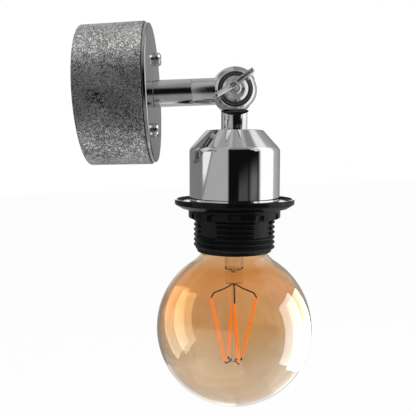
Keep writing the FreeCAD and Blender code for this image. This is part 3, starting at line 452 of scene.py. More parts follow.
class Graph:
    """Writes nodes into one tree."""

    def __init__(self, tree: bpy.types.NodeTree) -> None:
        """Empties the tree."""
        self.tree = tree
        tree.nodes.clear()

    def node(self, kind: str, settings: dict | None = None, inputs: dict | None = None,
             output: str | int = 0) -> Value:
        """Adds one node.

        Args:
            kind: The node's type.
            settings: Its own settings, which are set first.
            inputs: Values or links of its sockets, by name or place.
            output: The output to hand back.

        Returns:
            The chosen output.
        """
        made = self.tree.nodes.new(kind)
        for key, setting in (settings or {}).items():
            setattr(made, key, setting)
        for key, value in (inputs or {}).items():
            if isinstance(value, Value):
                self.tree.links.new(value.socket, made.inputs[key])
            else:
                made.inputs[key].default_value = value
        return Value(self, made.outputs[output] if made.outputs else None)

    def math(self, operation: str, *values: "Value | float") -> Value:
        """Adds a Math node with its inputs in order."""
        return self.node("ShaderNodeMath", {"operation": operation}, dict(enumerate(values)))

    def part(self, where: Value, axis: str) -> Value:
        """One of a place's three numbers."""
        return self.node("ShaderNodeSeparateXYZ", None, {0: where}, axis)

    def facing(self, blend: float) -> Value:
        """0 where the surface faces the eye, 1 where it is seen edge on."""
        return self.node("ShaderNodeLayerWeight", None, {"Blend": blend}, "Facing")

    def light_path(self, output: str) -> Value:
        """What kind of ray, or how deep in its path, is looking."""
        return self.node("ShaderNodeLightPath", None, None, output)

    def mix(self, factor: "Value | float", first: "Value | tuple", second: "Value | tuple") -> Value:
        """Mixes two colours by a factor."""
        colours = {0: factor, 6: solid(first), 7: solid(second)}
        return self.node("ShaderNodeMix", {"data_type": "RGBA"}, colours, 2)

    def ramp(self, value: Value, low: float, high: float, start: float = 0.0,
             end: float = 1.0) -> Value:
        """Maps a value smoothly from low..high to start..end."""
        inputs = {"Value": value, "From Min": low, "From Max": high, "To Min": start, "To Max": end}
        return self.node("ShaderNodeMapRange", {"interpolation_type": "SMOOTHSTEP"}, inputs)

    def noise(self, where: Value, scale: float, detail: float = 2.0, roughness: float = 0.5) -> Value:
        """Smooth noise from 0 to 1."""
        inputs = {"Vector": where, "Scale": scale, "Detail": detail, "Roughness": roughness}
        return self.node("ShaderNodeTexNoise", None, inputs)

    def cells(self, where: Value, scale: float) -> Value:
        """Distance to the nearest of many scattered points."""
        return self.node("ShaderNodeTexVoronoi", None, {"Vector": where, "Scale": scale})

    def place(self) -> Value:
        """The point's own place on the object, in metres."""
        return self.node("ShaderNodeTexCoord", None, None, "Object")

    def stretched(self, where: Value, scale: tuple) -> Value:
        """A place scaled differently along its axes."""
        return self.node("ShaderNodeVectorMath", {"operation": "MULTIPLY"}, {0: where, 1: scale})

    def bump(self, height: Value, distance: float, strength: float = 1.0) -> Value:
        """A bumped normal; distance is in millimetres."""
        inputs = {"Height": height, "Distance": distance * MM, "Strength": strength}
        return self.node("ShaderNodeBump", None, inputs)


def solid(colour: "Value | tuple") -> "Value | tuple":
    """Gives a plain colour its alpha."""
    return colour if isinstance(colour, Value) else (*colour[:3], 1.0)


class Material(Graph):
    """A material with one principled shader."""

    def __init__(self, name: str) -> None:
        """Makes the material with an empty tree."""
        self.made = bpy.data.materials.new(name)
        self.made.use_nodes = True
        super().__init__(self.made.node_tree)

    def finish(self, **sockets: "Value | float | tuple") -> bpy.types.Material:
        """Adds the shader.

        Args:
            sockets: Socket names, with underscores for spaces, and their values.

        Returns:
            The finished material.
        """
        inputs = {}
        for key, value in sockets.items():
            inputs[key.replace("_", " ")] = solid(value) if isinstance(value, tuple) else value
        shader = self.node("ShaderNodeBsdfPrincipled", None, inputs)
        self.node("ShaderNodeOutputMaterial", None, {"Surface": shader})
        return self.made


# Finishes


@dataclass(frozen=True)
class Finish:
    """A finish that makes its own material."""

    name: str

    def make(self) -> bpy.types.Material:
        """Makes the material."""
        return Material(self.name).finish()


@dataclass(frozen=True)
class Scar:
    """A dark pitted spot on the cast drum.

    Its place and reach are in millimetres and its depth runs from 0 to 1. It fades out
    between the inner and the outer share of its reach.
    """

    place: tuple[float, float, float]
    reach: float
    depth: float = 1.0
    inner_share: float = 0.7
    outer_share: float = 1.3

    def mark(self, m: Material, where: Value, fray: Value) -> Value:
        """How strongly this scar marks each place.

        Args:
            m: The material.
            where: The point's place.
            fray: Noise that frays the scar's edge.

        Returns:
            0 on clean metal, up to the scar's depth inside it.
        """
        centre = tuple(number * MM for number in self.place)
        reach = self.reach * MM
        inputs = {0: where, 1: centre}
        distance = m.node("ShaderNodeVectorMath", {"operation": "DISTANCE"}, inputs, "Value")
        outside = m.ramp(distance + fray * reach, self.inner_share * reach, self.outer_share * reach)
        return (1.0 - outside) * self.depth


@dataclass(frozen=True)
class CastPewter(Finish):
    """Rough cast metal: wrinkled skin, broad clouds, scattered pits, a few scars and a band of painted
    shade across the middle.

    The painted shade band's height and reach are in metres, the relief is in millimetres. Each range
    runs from where its effect is 0 to where it is 1. The pits' edge and the shade band's reach
    run the other way. Roughness is given for the low and the high parts of the skin.
    """

    dark: tuple = (0.02, 0.02, 0.02)
    light: tuple = (0.97, 0.97, 0.96)
    pit_colour: tuple = (0.008, 0.008, 0.008)
    wrinkle_scale: float = 1050.0
    wrinkle_twist: float = 1.8
    wrinkle_range: tuple = (0.42, 0.58)
    grain_scale: float = 2200.0
    cloud_scale: float = 60.0
    fray_scale: float = 420.0
    pit_scale: float = 240.0
    pit_edge: tuple = (0.06, 0.15)
    patch_scale: float = 110.0
    patch_range: tuple = (0.56, 0.66)
    scar_range: tuple = (0.62, 0.42)
    skin_share: float = 0.6
    grain_share: float = 0.15
    cloud_share: float = 0.25
    # Painted shade: a darker band across the drum's middle, its height, reach and strength
    shade_band_height: float = -0.002
    shade_band_reach: tuple = (0.006, 0.026)
    painted_shade_share: float = 0.55
    grain_relief: float = 0.35
    pit_relief: float = 1.2
    scar_relief: float = 1.5
    relief: float = 0.14
    roughness: tuple = (0.45, 0.22)
    metal: float = 0.95
    scars: tuple[Scar, ...] = (
        Scar((-33.4, -11.5, -4.0), 7.0),
        Scar((-32.0, -8.0, -25.0), 1.6),
        Scar((-28.0, -22.5, 21.0), 1.5),
        Scar((-24.0, -21.0, -30.0), 2.6),
        Scar((-31.0, -6.5, 14.5), 3.2, 0.7),
        Scar((-29.5, -14.0, 19.0), 1.8, 0.8),
    )

    def scarred(self, m: Material, where: Value) -> Value:
        """How strongly each place is scarred.

        Args:
            m: The material.
            where: The point's place.

        Returns:
            0 on clean metal, up to 1 in a scar.
        """
        fray = m.noise(where, self.fray_scale, 3.0, 0.7)
        marks = [scar.mark(m, where, fray) for scar in self.scars]
        total = marks[0]
        for mark in marks[1:]:
            total = m.math("MAXIMUM", total, mark)
        return total

    def pitted(self, m: Material, where: Value) -> Value:
        """Small pits that lie in patches.

        Args:
            m: The material.
            where: The point's place.

        Returns:
            0 on clean metal, 1 in a pit.
        """
        pits = 1.0 - m.ramp(m.cells(where, self.pit_scale), *self.pit_edge)
        return pits * m.ramp(m.noise(where, self.patch_scale, 1.0), *self.patch_range)

    def painted_shade_band(self, m: Material, where: Value) -> Value:
        """Painted shade: a darker band across the drum's middle, where the round side mirrors the dark
        room.

        Args:
            m: The material.
            where: The point's place.

        Returns:
            1 in the painted shade band's middle, 0 above and below it.
        """
        away = m.math("ABSOLUTE", m.part(where, "Z") - self.shade_band_height)
        return 1.0 - m.ramp(away, *self.shade_band_reach)

    def make(self) -> bpy.types.Material:
        """Makes the material.

        Returns:
            The cast metal.
        """
        m = Material(self.name)
        where = m.place()
        inputs = {"Vector": where, "Scale": self.wrinkle_scale, "Detail": 2.0,
                  "Distortion": self.wrinkle_twist}
        wrinkle = m.node("ShaderNodeTexNoise", None, inputs)
        grain = m.noise(where, self.grain_scale, 2.0, 0.6)
        cloud = m.noise(where, self.cloud_scale, 3.0, 0.55)
        pits = self.pitted(m, where)
        scars = self.scarred(m, where) * m.ramp(wrinkle, *self.scar_range)
        skin = m.ramp(wrinkle, *self.wrinkle_range)
        tone = skin * self.skin_share
        tone = tone + m.ramp(grain, *MIDRANGE) * self.grain_share
        tone = tone + m.ramp(cloud, *MIDRANGE) * self.cloud_share
        # Painted shade: darkens the drum across its middle, where its round side mirrors the dark room
        tone = tone * (1.0 - self.painted_shade_band(m, where) * self.painted_shade_share)
        colour = m.mix(tone, self.dark, self.light)
        colour = m.mix(m.math("MAXIMUM", pits, scars), colour, self.pit_colour)
        height = skin + grain * self.grain_relief - pits * self.pit_relief - scars * self.scar_relief
        rough = m.ramp(skin, 0.0, 1.0, *self.roughness)
        return m.finish(Base_Color=colour, Metallic=self.metal, Roughness=rough,
                        Normal=m.bump(height, self.relief, 1.0))


@dataclass(frozen=True)
class PolishedMetal(Finish):
    """Plated or polished metal with faint swirls in its gloss."""

    colour: tuple = (0.78, 0.78, 0.778)
    shade: tuple = (0.70, 0.70, 0.698)
    roughness: float = 0.06
    swirl: float = 0.05
    ripple: float = 0.004
    cloud_scale: float = 160.0
    fine_scale: float = 900.0

    def make(self) -> bpy.types.Material:
        """Makes the material.

        Returns:
            The polished metal.
        """
        m = Material(self.name)
        where = m.place()
        cloud = m.noise(where, self.cloud_scale, 3.0)
        fine = m.noise(where, self.fine_scale, 2.0)
        colour = m.mix(m.ramp(cloud, *MIDRANGE), self.shade, self.colour)
        rough = m.ramp(fine, *MIDRANGE, self.roughness, self.roughness + self.swirl)
        return m.finish(Base_Color=colour, Metallic=1.0, Roughness=rough,
                        Normal=m.bump(cloud, self.ripple, 0.5))


@dataclass(frozen=True)
class SatinSteel(Finish):
    """Satin metal with fine turning marks."""

    colour: tuple = (0.42, 0.418, 0.41)
    shade: tuple = (0.33, 0.328, 0.322)
    roughness: float = 0.1
    streak_stretch: tuple = (1.0, 8.0, 1.0)
    streak_scale: float = 420.0
    cloud_scale: float = 60.0
    streak_gloss: float = 0.06
    streak_depth: float = 0.006

    def make(self) -> bpy.types.Material:
        """Makes the material.

        Returns:
            The satin metal.
        """
        m = Material(self.name)
        where = m.place()
        streaks = m.noise(m.stretched(where, self.streak_stretch), self.streak_scale, 3.0, 0.6)
        cloud = m.noise(where, self.cloud_scale, 2.0)
        tone = m.ramp(streaks * 0.5 + cloud * 0.5, *CLOSE_RANGE)
        colour = m.mix(tone, self.shade, self.colour)
        rough = m.ramp(streaks, *MIDRANGE, self.roughness, self.roughness + self.streak_gloss)
        return m.finish(Base_Color=colour, Metallic=1.0, Roughness=rough,
                        Normal=m.bump(streaks, self.streak_depth, 0.6))


@dataclass(frozen=True)
class MouldedPlastic(Finish):
    """Moulded plastic with a faint orange-peel skin."""

    colour: tuple = (0.0045, 0.0045, 0.0047)
    shade: tuple = (0.003, 0.003, 0.0031)
    roughness: float = 0.3
    peel: float = 0.02
    shine: float = 0.25
    cloud_scale: float = 220.0
    skin_scale: float = 1400.0
    cloud_gloss: float = 0.12

    def make(self) -> bpy.types.Material:
        """Makes the material.

        Returns:
            The moulded plastic.
        """
        m = Material(self.name)
        where = m.place()
        cloud = m.noise(where, self.cloud_scale, 3.0)
        skin = m.noise(where, self.skin_scale, 2.0)
        colour = m.mix(m.ramp(cloud, *MIDRANGE), self.shade, self.colour)
        rough = m.ramp(cloud, *MIDRANGE, self.roughness, self.roughness + self.cloud_gloss)
        return m.finish(Base_Color=colour, Roughness=rough, Specular_IOR_Level=self.shine,
                        Normal=m.bump(skin, self.peel, 0.35))


@dataclass(frozen=True)
class ClearGlass(Finish):
    """Clear glass with painted shade where it is seen edge on, standing in for the dark that refraction
    shows at its edges.
    """

    colour: tuple = (0.94, 0.91, 0.85)
    # Painted shade: the dark colour and the range of its edge-on darkening
    edge: tuple = (0.12, 0.08, 0.05)
    painted_edge_range: tuple = (0.25, 0.85)

    def make(self) -> bpy.types.Material:
        """Makes the material.

        Returns:
            The clear glass.
        """
        m = Material(self.name)
        colour = m.mix(m.ramp(m.facing(0.4), *self.painted_edge_range), self.colour, self.edge)
        return m.finish(Base_Color=colour, Roughness=0.02, IOR=GLASS_IOR, Transmission_Weight=1.0)


@dataclass(frozen=True)
class GoldGlass(Finish):
    """Blown glass with a gold coating, deeper round its top and at the rim and faintly cloudy.

    Heights are in metres. The belt's colour sets in between low and high, the neck's
    above it between neck_low and neck_high.
    """

    colour: tuple = (0.86, 0.71, 0.53)
    belt: tuple = (0.95, 0.58, 0.27)
    neck: tuple = (0.99, 0.80, 0.60)
    cloud: tuple = (0.86, 0.64, 0.42)
    rim: tuple = (0.88, 0.62, 0.40)
    low: float = -0.116
    high: float = -0.098
    neck_low: float = -0.088
    neck_high: float = -0.080
    drift_scale: float = 18.0
    drift_range: tuple = (0.4, 0.65)
    drift_height: float = 0.01
    rim_range: tuple = (0.5, 0.9)
    wave_scale: float = 40.0
    wave_depth: float = 0.03

    def make(self) -> bpy.types.Material:
        """Makes the material.

        Returns:
            The coated glass.
        """
        m = Material(self.name)
        where = m.place()
        height = m.part(where, "Z")
        drift = m.noise(where, self.drift_scale, 1.0)
        colour = m.mix(m.ramp(drift, *self.drift_range), self.colour, self.cloud)
        belt = m.ramp(height + drift * self.drift_height, self.low, self.high)
        colour = m.mix(belt, colour, self.belt)
        colour = m.mix(m.ramp(height, self.neck_low, self.neck_high), colour, self.neck)
        colour = m.mix(m.ramp(m.facing(0.5), *self.rim_range), colour, self.rim)
        wave = m.noise(where, self.wave_scale, 1.0)
        return m.finish(Base_Color=colour, Roughness=0.0, IOR=GLASS_IOR, Transmission_Weight=1.0,
                        Normal=m.bump(wave, self.wave_depth, 0.5))


@dataclass(frozen=True)
class Phosphor(Finish):
    """The coated strip of a filament, with a painted glow: a faint emission that brightens the unlit coat.
    """

    colour: tuple = (0.86, 0.36, 0.05)
    shade: tuple = (0.62, 0.2, 0.02)
    # Painted glow: this faint emission only brightens the unlit coat
    glow: tuple = (1.0, 0.27, 0.03)
    strength: float = 0.72
    speck_scale: float = 1500.0
    speck_depth: float = 0.02

    def make(self) -> bpy.types.Material:
        """Makes the material.

        Returns:
            The coat with its painted glow.
        """
        m = Material(self.name)
        speck = m.noise(m.place(), self.speck_scale, 2.0)
        colour = m.mix(m.ramp(speck, *CLOSE_RANGE), self.shade, self.colour)
        # The emission is a painted glow on an unlit filament
        return m.finish(Base_Color=colour, Roughness=0.4, Normal=m.bump(speck, self.speck_depth, 0.4),
                        Emission_Color=self.glow, Emission_Strength=self.strength)


class Look(Enum):
    """Every finish on the light, by name."""

    PEWTER = CastPewter("cast_pewter")
    PLATE = SatinSteel("satin_plate", (0.6, 0.6, 0.598), (0.5, 0.5, 0.498), 0.07)
    SCREW = PolishedMetal("screw_steel", roughness=0.16, swirl=0.1)
    NICKEL = PolishedMetal("polished_nickel", roughness=0.09)
    WING = PolishedMetal("wing_casting", (0.72, 0.72, 0.718), (0.6, 0.6, 0.598), 0.14, 0.1, 0.01)
    # Partly real dull steel, partly painted shade: the washer's colour is darkened for the shade in the
    # ball's recess
    DULL = SatinSteel("dull_washer", (0.34, 0.335, 0.325), (0.24, 0.235, 0.23), 0.38)
    MIRROR = PolishedMetal("mirror_chrome", (0.86, 0.86, 0.865), (0.82, 0.82, 0.825), 0.025, 0.02, 0.001)
    BLACK = MouldedPlastic("black_moulding")
    GLOSS = MouldedPlastic("ring_gloss", (0.003, 0.003, 0.0031), (0.002, 0.002, 0.0021), 0.08, 0.006, 0.2)
    ZINC = PolishedMetal("zinc_plate", (0.68, 0.67, 0.6), (0.56, 0.55, 0.48), 0.25, 0.12)
    BRASS = PolishedMetal("brass", (0.78, 0.6, 0.3), (0.66, 0.48, 0.22), 0.2, 0.1)
    GLAZE = MouldedPlastic("white_glaze", (0.84, 0.83, 0.79), (0.78, 0.77, 0.72), 0.12, 0.01)
    NYLON = MouldedPlastic("connector_nylon", (0.8, 0.79, 0.75), (0.72, 0.71, 0.66), 0.45)
    SHEATH = MouldedPlastic("wire_sheath", (0.3, 0.13, 0.06), (0.22, 0.09, 0.04), 0.5)
    BOARD = MouldedPlastic("driver_board", (0.06, 0.2, 0.08), (0.04, 0.14, 0.05), 0.4)
    GOLD_GLASS = GoldGlass("gold_glass")
    STEM_GLASS = ClearGlass("stem_glass")
    LEAD = PolishedMetal("lead_wire", (0.05, 0.035, 0.022), (0.03, 0.02, 0.012), 0.4)
    BLACK_GLASS = MouldedPlastic("black_glass", (0.01, 0.01, 0.014), (0.008, 0.008, 0.01), 0.08, 0.005)
    PHOSPHOR = Phosphor("filament_coat")
    CAP = PolishedMetal("cap_aluminium", (0.76, 0.75, 0.73), (0.66, 0.65, 0.63), 0.22, 0.1)

    def material(self) -> bpy.types.Material:
        """The material, made on first use."""
        return bpy.data.materials.get(self.value.name) or self.value.make()


def dress(piece: bpy.types.Object, look: Look) -> None:
    """Gives a piece one finish all over.

    Args:
        piece: The piece, either made here or carried over.
        look: Its finish.
    """
    if not piece.material_slots:
        piece.data.materials.append(None)
    for slot in piece.material_slots:
        slot.material = look.material()


@dataclass
class Assembly:
    """A group of pieces that ride on one or more bodies."""

    body: str = "base"

    def add(self, piece: bpy.types.Object, look: Look, slot: str, body: str = "") -> bpy.types.Object:
        """Takes a new piece in: it rides, stands for its node and gets its finish.

        Args:
            piece: The new piece, in place.
            look: Its finish.
            slot: The node and material slot that it stands for.
            body: The body it rides on, if not the assembly's own.

        Returns:
            The piece.
        """
        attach(piece, body or self.body)
        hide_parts(slot)
        dress(piece, look)
        LOG.info("%s stands for %s", piece.name, slot)
        return piece

    def carry(self, looks: dict[str, Look]) -> None:
        """Gives the carried-over nodes their finishes.

        Args:
            looks: The finish of each node.
        """
        for node, look in looks.items():
            dress(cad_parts[node], look)
            LOG.info("%s carried over", node)


@dataclass
class WallBase(Assembly):
    """Cast drum with its front plate and everything fixed inside it.

    Lengths are in millimetres and angles in degrees. The depth is counted out from the wall.
    """

    front_radius: float = 34.3
    back_radius: float = 33.7
    depth: float = 30.6
    wall: float = 2.6
    back_wall: float = 3.0
    plate_radius: float = 33.5
    plate_thickness: float = 2.2
    plate_round: float = 1.7
    slot_spacing: float = 46.0
    slot_width: float = 4.5
    slot_length: float = 9.0
    entry_radius: float = 7.0
    screw_circle: float = 21.4
    screw_angle: float = 58.5
    screw_radius: float = 2.0
    screw_length: float = 12.0
    head_radius: float = 3.35
    head_height: float = 3.0
    head_round: float = 2.25
    slot_cut: float = 0.85
    slot_depth: float = 1.2
    lug_radius: float = 4.4
    lug_gap: float = 0.3
    spigot_depth: float = 2.6
    spigot_wall: float = 1.6
    spigot_gap: float = 0.3
    inner: dict = field(default_factory=lambda: {
        "terminal_block": Look.NYLON, "terminal_tubes": Look.BRASS, "terminal_screws": Look.ZINC,
        "block_screw": Look.ZINC, "earth_screw": Look.BRASS, "earth_washer": Look.BRASS,
        "arm_nipple": Look.ZINC, "arm_washer": Look.ZINC, "arm_nut": Look.ZINC,
        "arm_wires": Look.SHEATH,
    })

    def build(self) -> None:
        """Makes the pieces and dresses them."""
        self.add(self.drum(), Look.PEWTER, "drum_housing")
        self.add(self.plate(), Look.PLATE, "front_plate")
        self.add(self.screws(), Look.SCREW, "cover_screws")
        self.carry(self.inner)

    def screw_places(self) -> list[Vector]:
        """Centres of the two cover screws, across the plate.

        Returns:
            Each screw's (across, up), in millimetres.
        """
        angle = math.radians(self.screw_angle)
        place = Vector((math.cos(angle), math.sin(angle))) * self.screw_circle
        return [place, -place]

    def facing(self) -> Matrix:
        """Placement of an outline whose second number counts up the wall."""
        return Axis.OUT.matrix() @ Matrix.Scale(-1, 4, Vector((0, 1, 0)))

    def drum(self) -> bpy.types.Object:
        """The drum with its lugs, wall slots and cable entry.

        Returns:
            The drum in place.
        """
        inside_front = self.front_radius - self.wall
        inside_back = self.back_radius - self.wall
        outline = rounded([
            (0, 0),
            (self.back_radius, 0, 0.9),
            (self.front_radius, self.depth, 0.45),
            (inside_front, self.depth, 0.3),
            (inside_back, self.back_wall, 0.9),
            (0, self.back_wall),
        ])
        place = Axis.OUT.matrix()
        piece = new_piece("drum", turned(outline, place, 192))
        lug_end = self.depth - self.lug_gap
        lugs = [prism(circle(self.lug_radius, 40, centre), self.facing(), self.back_wall / 2, lug_end)
                for centre in self.screw_places()]
        shaped(piece, lugs, Cut.JOIN)
        cuts = [prism(circle(self.entry_radius, 64), place, -1, self.back_wall + 1)]
        reach = (self.slot_length - self.slot_width) / 2
        for side in (-1, 1):
            middle = side * self.slot_spacing / 2
            arc = circle(self.slot_width / 2, 32)
            slot = [point + Vector((middle + (reach if point.x > 0 else -reach), 0)) for point in arc]
            cuts.append(prism(slot, place, -1, self.back_wall + 1))
        shaped(piece, cuts, Cut.AWAY)
        return piece

    def plate(self) -> bpy.types.Object:
        """The front plate with its bright rounded edge and centring spigot.

        Returns:
            The plate in place.
        """
        face = self.depth + self.plate_thickness
        spigot = self.front_radius - self.wall - self.spigot_gap
        inside, low = spigot - self.spigot_wall, self.depth - self.spigot_depth
        outline = rounded([
            (NIPPLE_BORE, self.depth),
            (inside, self.depth, 0.2),
            (inside, low, 0.2),
            (spigot - 0.15, low, 0.3),
            (spigot, self.depth),
            (self.plate_radius - 0.5, self.depth),
            (self.plate_radius, self.depth + 0.5, 0.2),
            (self.plate_radius, face, self.plate_round),
            (NIPPLE_BORE, face),
        ], Corner.SMOOTH)
        return new_piece("front_disc", turned(outline, Axis.OUT.matrix(), 192))

    def screws(self) -> bpy.types.Object:
        """The two cover screws: domed heads with a cross slot that runs out at the rim.

        Returns:
            Both screws as one piece.
        """
        face = self.depth + self.plate_thickness
        top = face + self.head_height
        outline = rounded([
            (0, face - self.screw_length),
            (self.screw_radius, face - self.screw_length, 0.5),
            (self.screw_radius, face + 0.01),
            (self.head_radius, face + 0.01, 0.25),
            (self.head_radius, top, self.head_round),
            (0, top),
        ], Corner.SMOOTH)
        screws = []
        for centre in self.screw_places():
            head = new_piece("screw_blank", turned(outline, Axis.OUT.matrix(), 64))
            slots = []
            for turn in (0.0, math.pi / 2):
                spin = Axis.OUT.matrix() @ Matrix.Rotation(turn, 4, "Z")
                slots.append(prism(box_outline(2 * self.head_radius + 2, self.slot_cut), spin,
                                   top - self.slot_depth, top + 1))
            shaped(head, slots, Cut.AWAY)
            softened(head, 0.15, 2)
            head.data.transform(Matrix.Translation(Vector((centre.x, 0, centre.y)) * MM))
            screws.append(lifted(head))
        return new_piece("cover_screw_pair", joined(screws), 35.0)


@dataclass
class Knuckle(Assembly):
    """Short arm, two half balls, spring washer and wing screw.

    Lengths are in millimetres and angles in degrees. Depths, distances and heights are
    counted from the ball's middle or from the piece's own seat.
    """

    plate_face: float = 32.8
    arm_radius: float = 6.55
    arm_length: float = 18.8
    ball_radius: float = 11.6
    face_depth: float = 7.9
    flat_distance: float = 9.75
    seat_gap: float = 0.65
    parting: float = 0.1
    stub_length: float = 20.7
    neck_length: float = 19.2
    neck_radius: float = 6.7
    recess_radius: float = 7.9
    recess_depth: float = 0.7
    washer_radius: float = 7.5
    washer_thickness: float = 1.0
    hub_radius: float = 6.1
    hub_height: float = 3.2
    shoulder_radius: float = 4.9
    shoulder_height: float = 2.3
    crown_radius: float = 2.8
    boss_radius: float = 2.2
    boss_height: float = 0.9
    screw_radius: float = 2.5
    wing_half_span: float = 10.9
    wing_flare: float = 0.4
    wing_root_half: float = 4.6
    wing_root_height: float = 0.8
    wing_waist_height: float = 2.6
    wing_height: float = 9.2
    wing_valley_height: float = 2.6
    wing_valley_half: float = 1.5
    wing_thickness: float = 2.1
    wing_draft: float = 0.55
    wing_offset: float = 1.8
    wing_angle: float = 32.5

    def build(self) -> None:
        """Makes the pieces and dresses them."""
        self.add(self.arm(), Look.NICKEL, "arm_tube")
        self.add(self.half("near_half", -1), Look.NICKEL, "knuckle_arm_half")
        self.add(self.half("far_half", 1), Look.NICKEL, "knuckle_head_half", "head")
        self.add(self.washer(), Look.DULL, "knuckle_washer", "knuckle_washer")
        self.add(self.wing_screw(), Look.WING, "wing_screw", "wing_screw")

    def arm(self) -> bpy.types.Object:
        """Plain tube from the plate to the knuckle.

        Returns:
            The arm in place.
        """
        end = self.plate_face + self.arm_length
        outline = rounded([
            (NIPPLE_BORE, self.plate_face),
            (self.arm_radius, self.plate_face, 0.25),
            (self.arm_radius, end, 0.5),
            (NIPPLE_BORE, end, 0.2),
            (NIPPLE_BORE, self.plate_face),
        ])
        return new_piece("arm_sleeve", turned(outline, Axis.OUT.matrix(), 128))

    def half(self, name: str, side: int) -> bpy.types.Object:
        """One half ball with its stub.

        Args:
            name: The piece's name.
            side: -1 for the half on the arm, 1 for the half on the head.

        Returns:
            The half ball in place.
        """
        radius = self.ball_radius
        stub_radius = self.arm_radius if side < 0 else self.neck_radius
        stub_length = self.stub_length if side < 0 else self.neck_length
        steps = 40
        short_of_face = 0.03
        rim = math.sqrt(radius ** 2 - self.face_depth ** 2)
        low = math.asin(self.parting / radius)
        high = math.asin(self.face_depth / radius) - short_of_face
        angles = [low + (high - low) * step / steps for step in range(steps + 1)]
        arc = [(radius * math.cos(angle), radius * math.sin(angle)) for angle in angles]
        outline = [(0, self.parting)] + arc + [
            (rim - 0.12, self.face_depth, 0.1), (self.recess_radius, self.face_depth, 0.15),
            (self.recess_radius, self.face_depth - self.recess_depth, 0.1),
            (0, self.face_depth - self.recess_depth)]
        if side > 0:
            outline = outline[:-3] + [(0, self.face_depth)]
        piece = new_piece(name, turned(rounded(outline), SIDEWAYS))
        stub = self.stub(stub_radius, stub_length)
        shaped(piece, [stub], Cut.JOIN, 30.0)
        reach = 20.0
        chord = prism(box_outline(2 * reach, 2 * reach), Matrix.Identity(4),
                      -self.flat_distance - reach, -self.flat_distance)
        bore = self.rod_x(self.screw_radius + 0.1, -1, radius + 1)
        shaped(piece, [chord, bore], Cut.AWAY, 30.0)
        softened(piece, 0.22, 3, 40.0)
        if side > 0:
            piece.data.transform(Matrix.Rotation(math.pi, 4, Vector((0, 1, -1))))
            piece.data.transform(head_place(MM))
        else:
            piece.data.transform(Matrix.Translation(BALL * MM))
        return piece

    def rod_x(self, radius: float, low: float, high: float, segments: int = 96) -> bmesh.types.BMesh:
        """A round rod along -X."""
        return prism(circle(radius, segments), Matrix.Rotation(-math.pi / 2, 4, "Y"), low, high)

    def stub(self, radius: float, length: float) -> bmesh.types.BMesh:
        """The stub along +Y, hollowed on the far side to clear the other half.

        Args:
            radius: The stub's radius.
            length: How far it reaches from the ball's middle.

        Returns:
            The stub's closed mesh, in millimetres.
        """
        place = Matrix.Rotation(-math.pi / 2, 4, "X")
        blank = new_piece("stub_blank", prism(circle(radius, 128), place, 0.0, length))
        seat = self.rod_x(self.ball_radius + self.seat_gap, -radius - 1, -self.parting, 160)
        core = prism(box_outline(4 * radius, 4 * radius), place, -1, self.flat_distance / 2)
        return lifted(shaped(blank, [seat, core], Cut.AWAY))

    def washer(self) -> bpy.types.Object:
        """Spring washer in the ball's recess.

        Returns:
            The washer in place.
        """
        seat = self.face_depth - self.recess_depth
        bore = self.screw_radius + 0.3
        outline = rounded([
            (bore, seat + 0.01),
            (self.washer_radius, seat + 0.01, 0.2),
            (self.washer_radius, seat + self.washer_thickness, 0.3),
            (bore, seat + self.washer_thickness),
            (bore, seat + 0.01),
        ])
        return new_piece("spring_washer", turned(outline, Axis.SIDE.matrix(), 96))

    def wing_screw(self) -> bpy.types.Object:
        """Hub, two ears and the shank, as one casting.

        Returns:
            The wing screw in place.
        """
        seat = self.face_depth - self.recess_depth + self.washer_thickness
        face = seat + self.hub_height
        end = -self.face_depth + 0.6
        hub = rounded([
            (0, end),
            (self.screw_radius, end, 0.6),
            (self.screw_radius, seat),
            (self.hub_radius - 0.4, seat, 0.1),
            (self.hub_radius, seat + 0.6, 0.2),
            (self.hub_radius, seat + 0.9, 0.2),
            (self.shoulder_radius, seat + self.shoulder_height, 3.0),
            (self.crown_radius, face, 0.3),
            (self.boss_radius, face + self.boss_height, 0.8),
            (0, face + self.boss_height + 0.05),
        ], Corner.SMOOTH)
        piece = new_piece("wing_screw_body", turned(hub, Axis.SIDE.matrix(), 96))
        shaped(piece, [self.ears(seat, face)], Cut.JOIN, 30.0)
        return piece

    def ears(self, seat: float, face: float) -> bmesh.types.BMesh:
        """The two ears as one rounded plate across the hub.

        Args:
            seat: Where the hub meets the washer, out from the ball's middle.
            face: Where the hub's face is.

        Returns:
            The closed plate.
        """
        half = [
            (self.wing_valley_half, face + self.wing_valley_height, 4.0),
            (self.wing_half_span + self.wing_flare, face + self.wing_height, 1.3),
            (self.wing_half_span, face + self.wing_waist_height, 3.0),
            (self.wing_root_half, seat + self.wing_root_height),
        ]
        mirrored = [(-corner[0], *corner[1:]) for corner in reversed(half)]
        outline = rounded([*half, *mirrored, half[0]], Corner.FINE, 5.0)[:-1]
        turn = Axis.SIDE.matrix() @ Matrix.Rotation(math.radians(self.wing_angle) + HEAD_TILT, 4, "Z")
        stand = Matrix(((0, 0, 1, self.wing_offset), (1, 0, 0, 0), (0, 1, 0, 0), (0, 0, 0, 1)))
        place = turn @ stand
        plate = prism(outline, Matrix.Identity(4), -self.wing_thickness / 2, self.wing_thickness / 2)
        for vertex in plate.verts:
            share = (vertex.co.y - seat) / (self.hub_height + self.wing_height)
            vertex.co.z *= 1 + self.wing_draft * (1 - share)
        bmesh.ops.transform(plate, matrix=place, verts=plate.verts)
        return lifted(softened(new_piece("ear_blank", plate), 0.55, 4, 50.0))


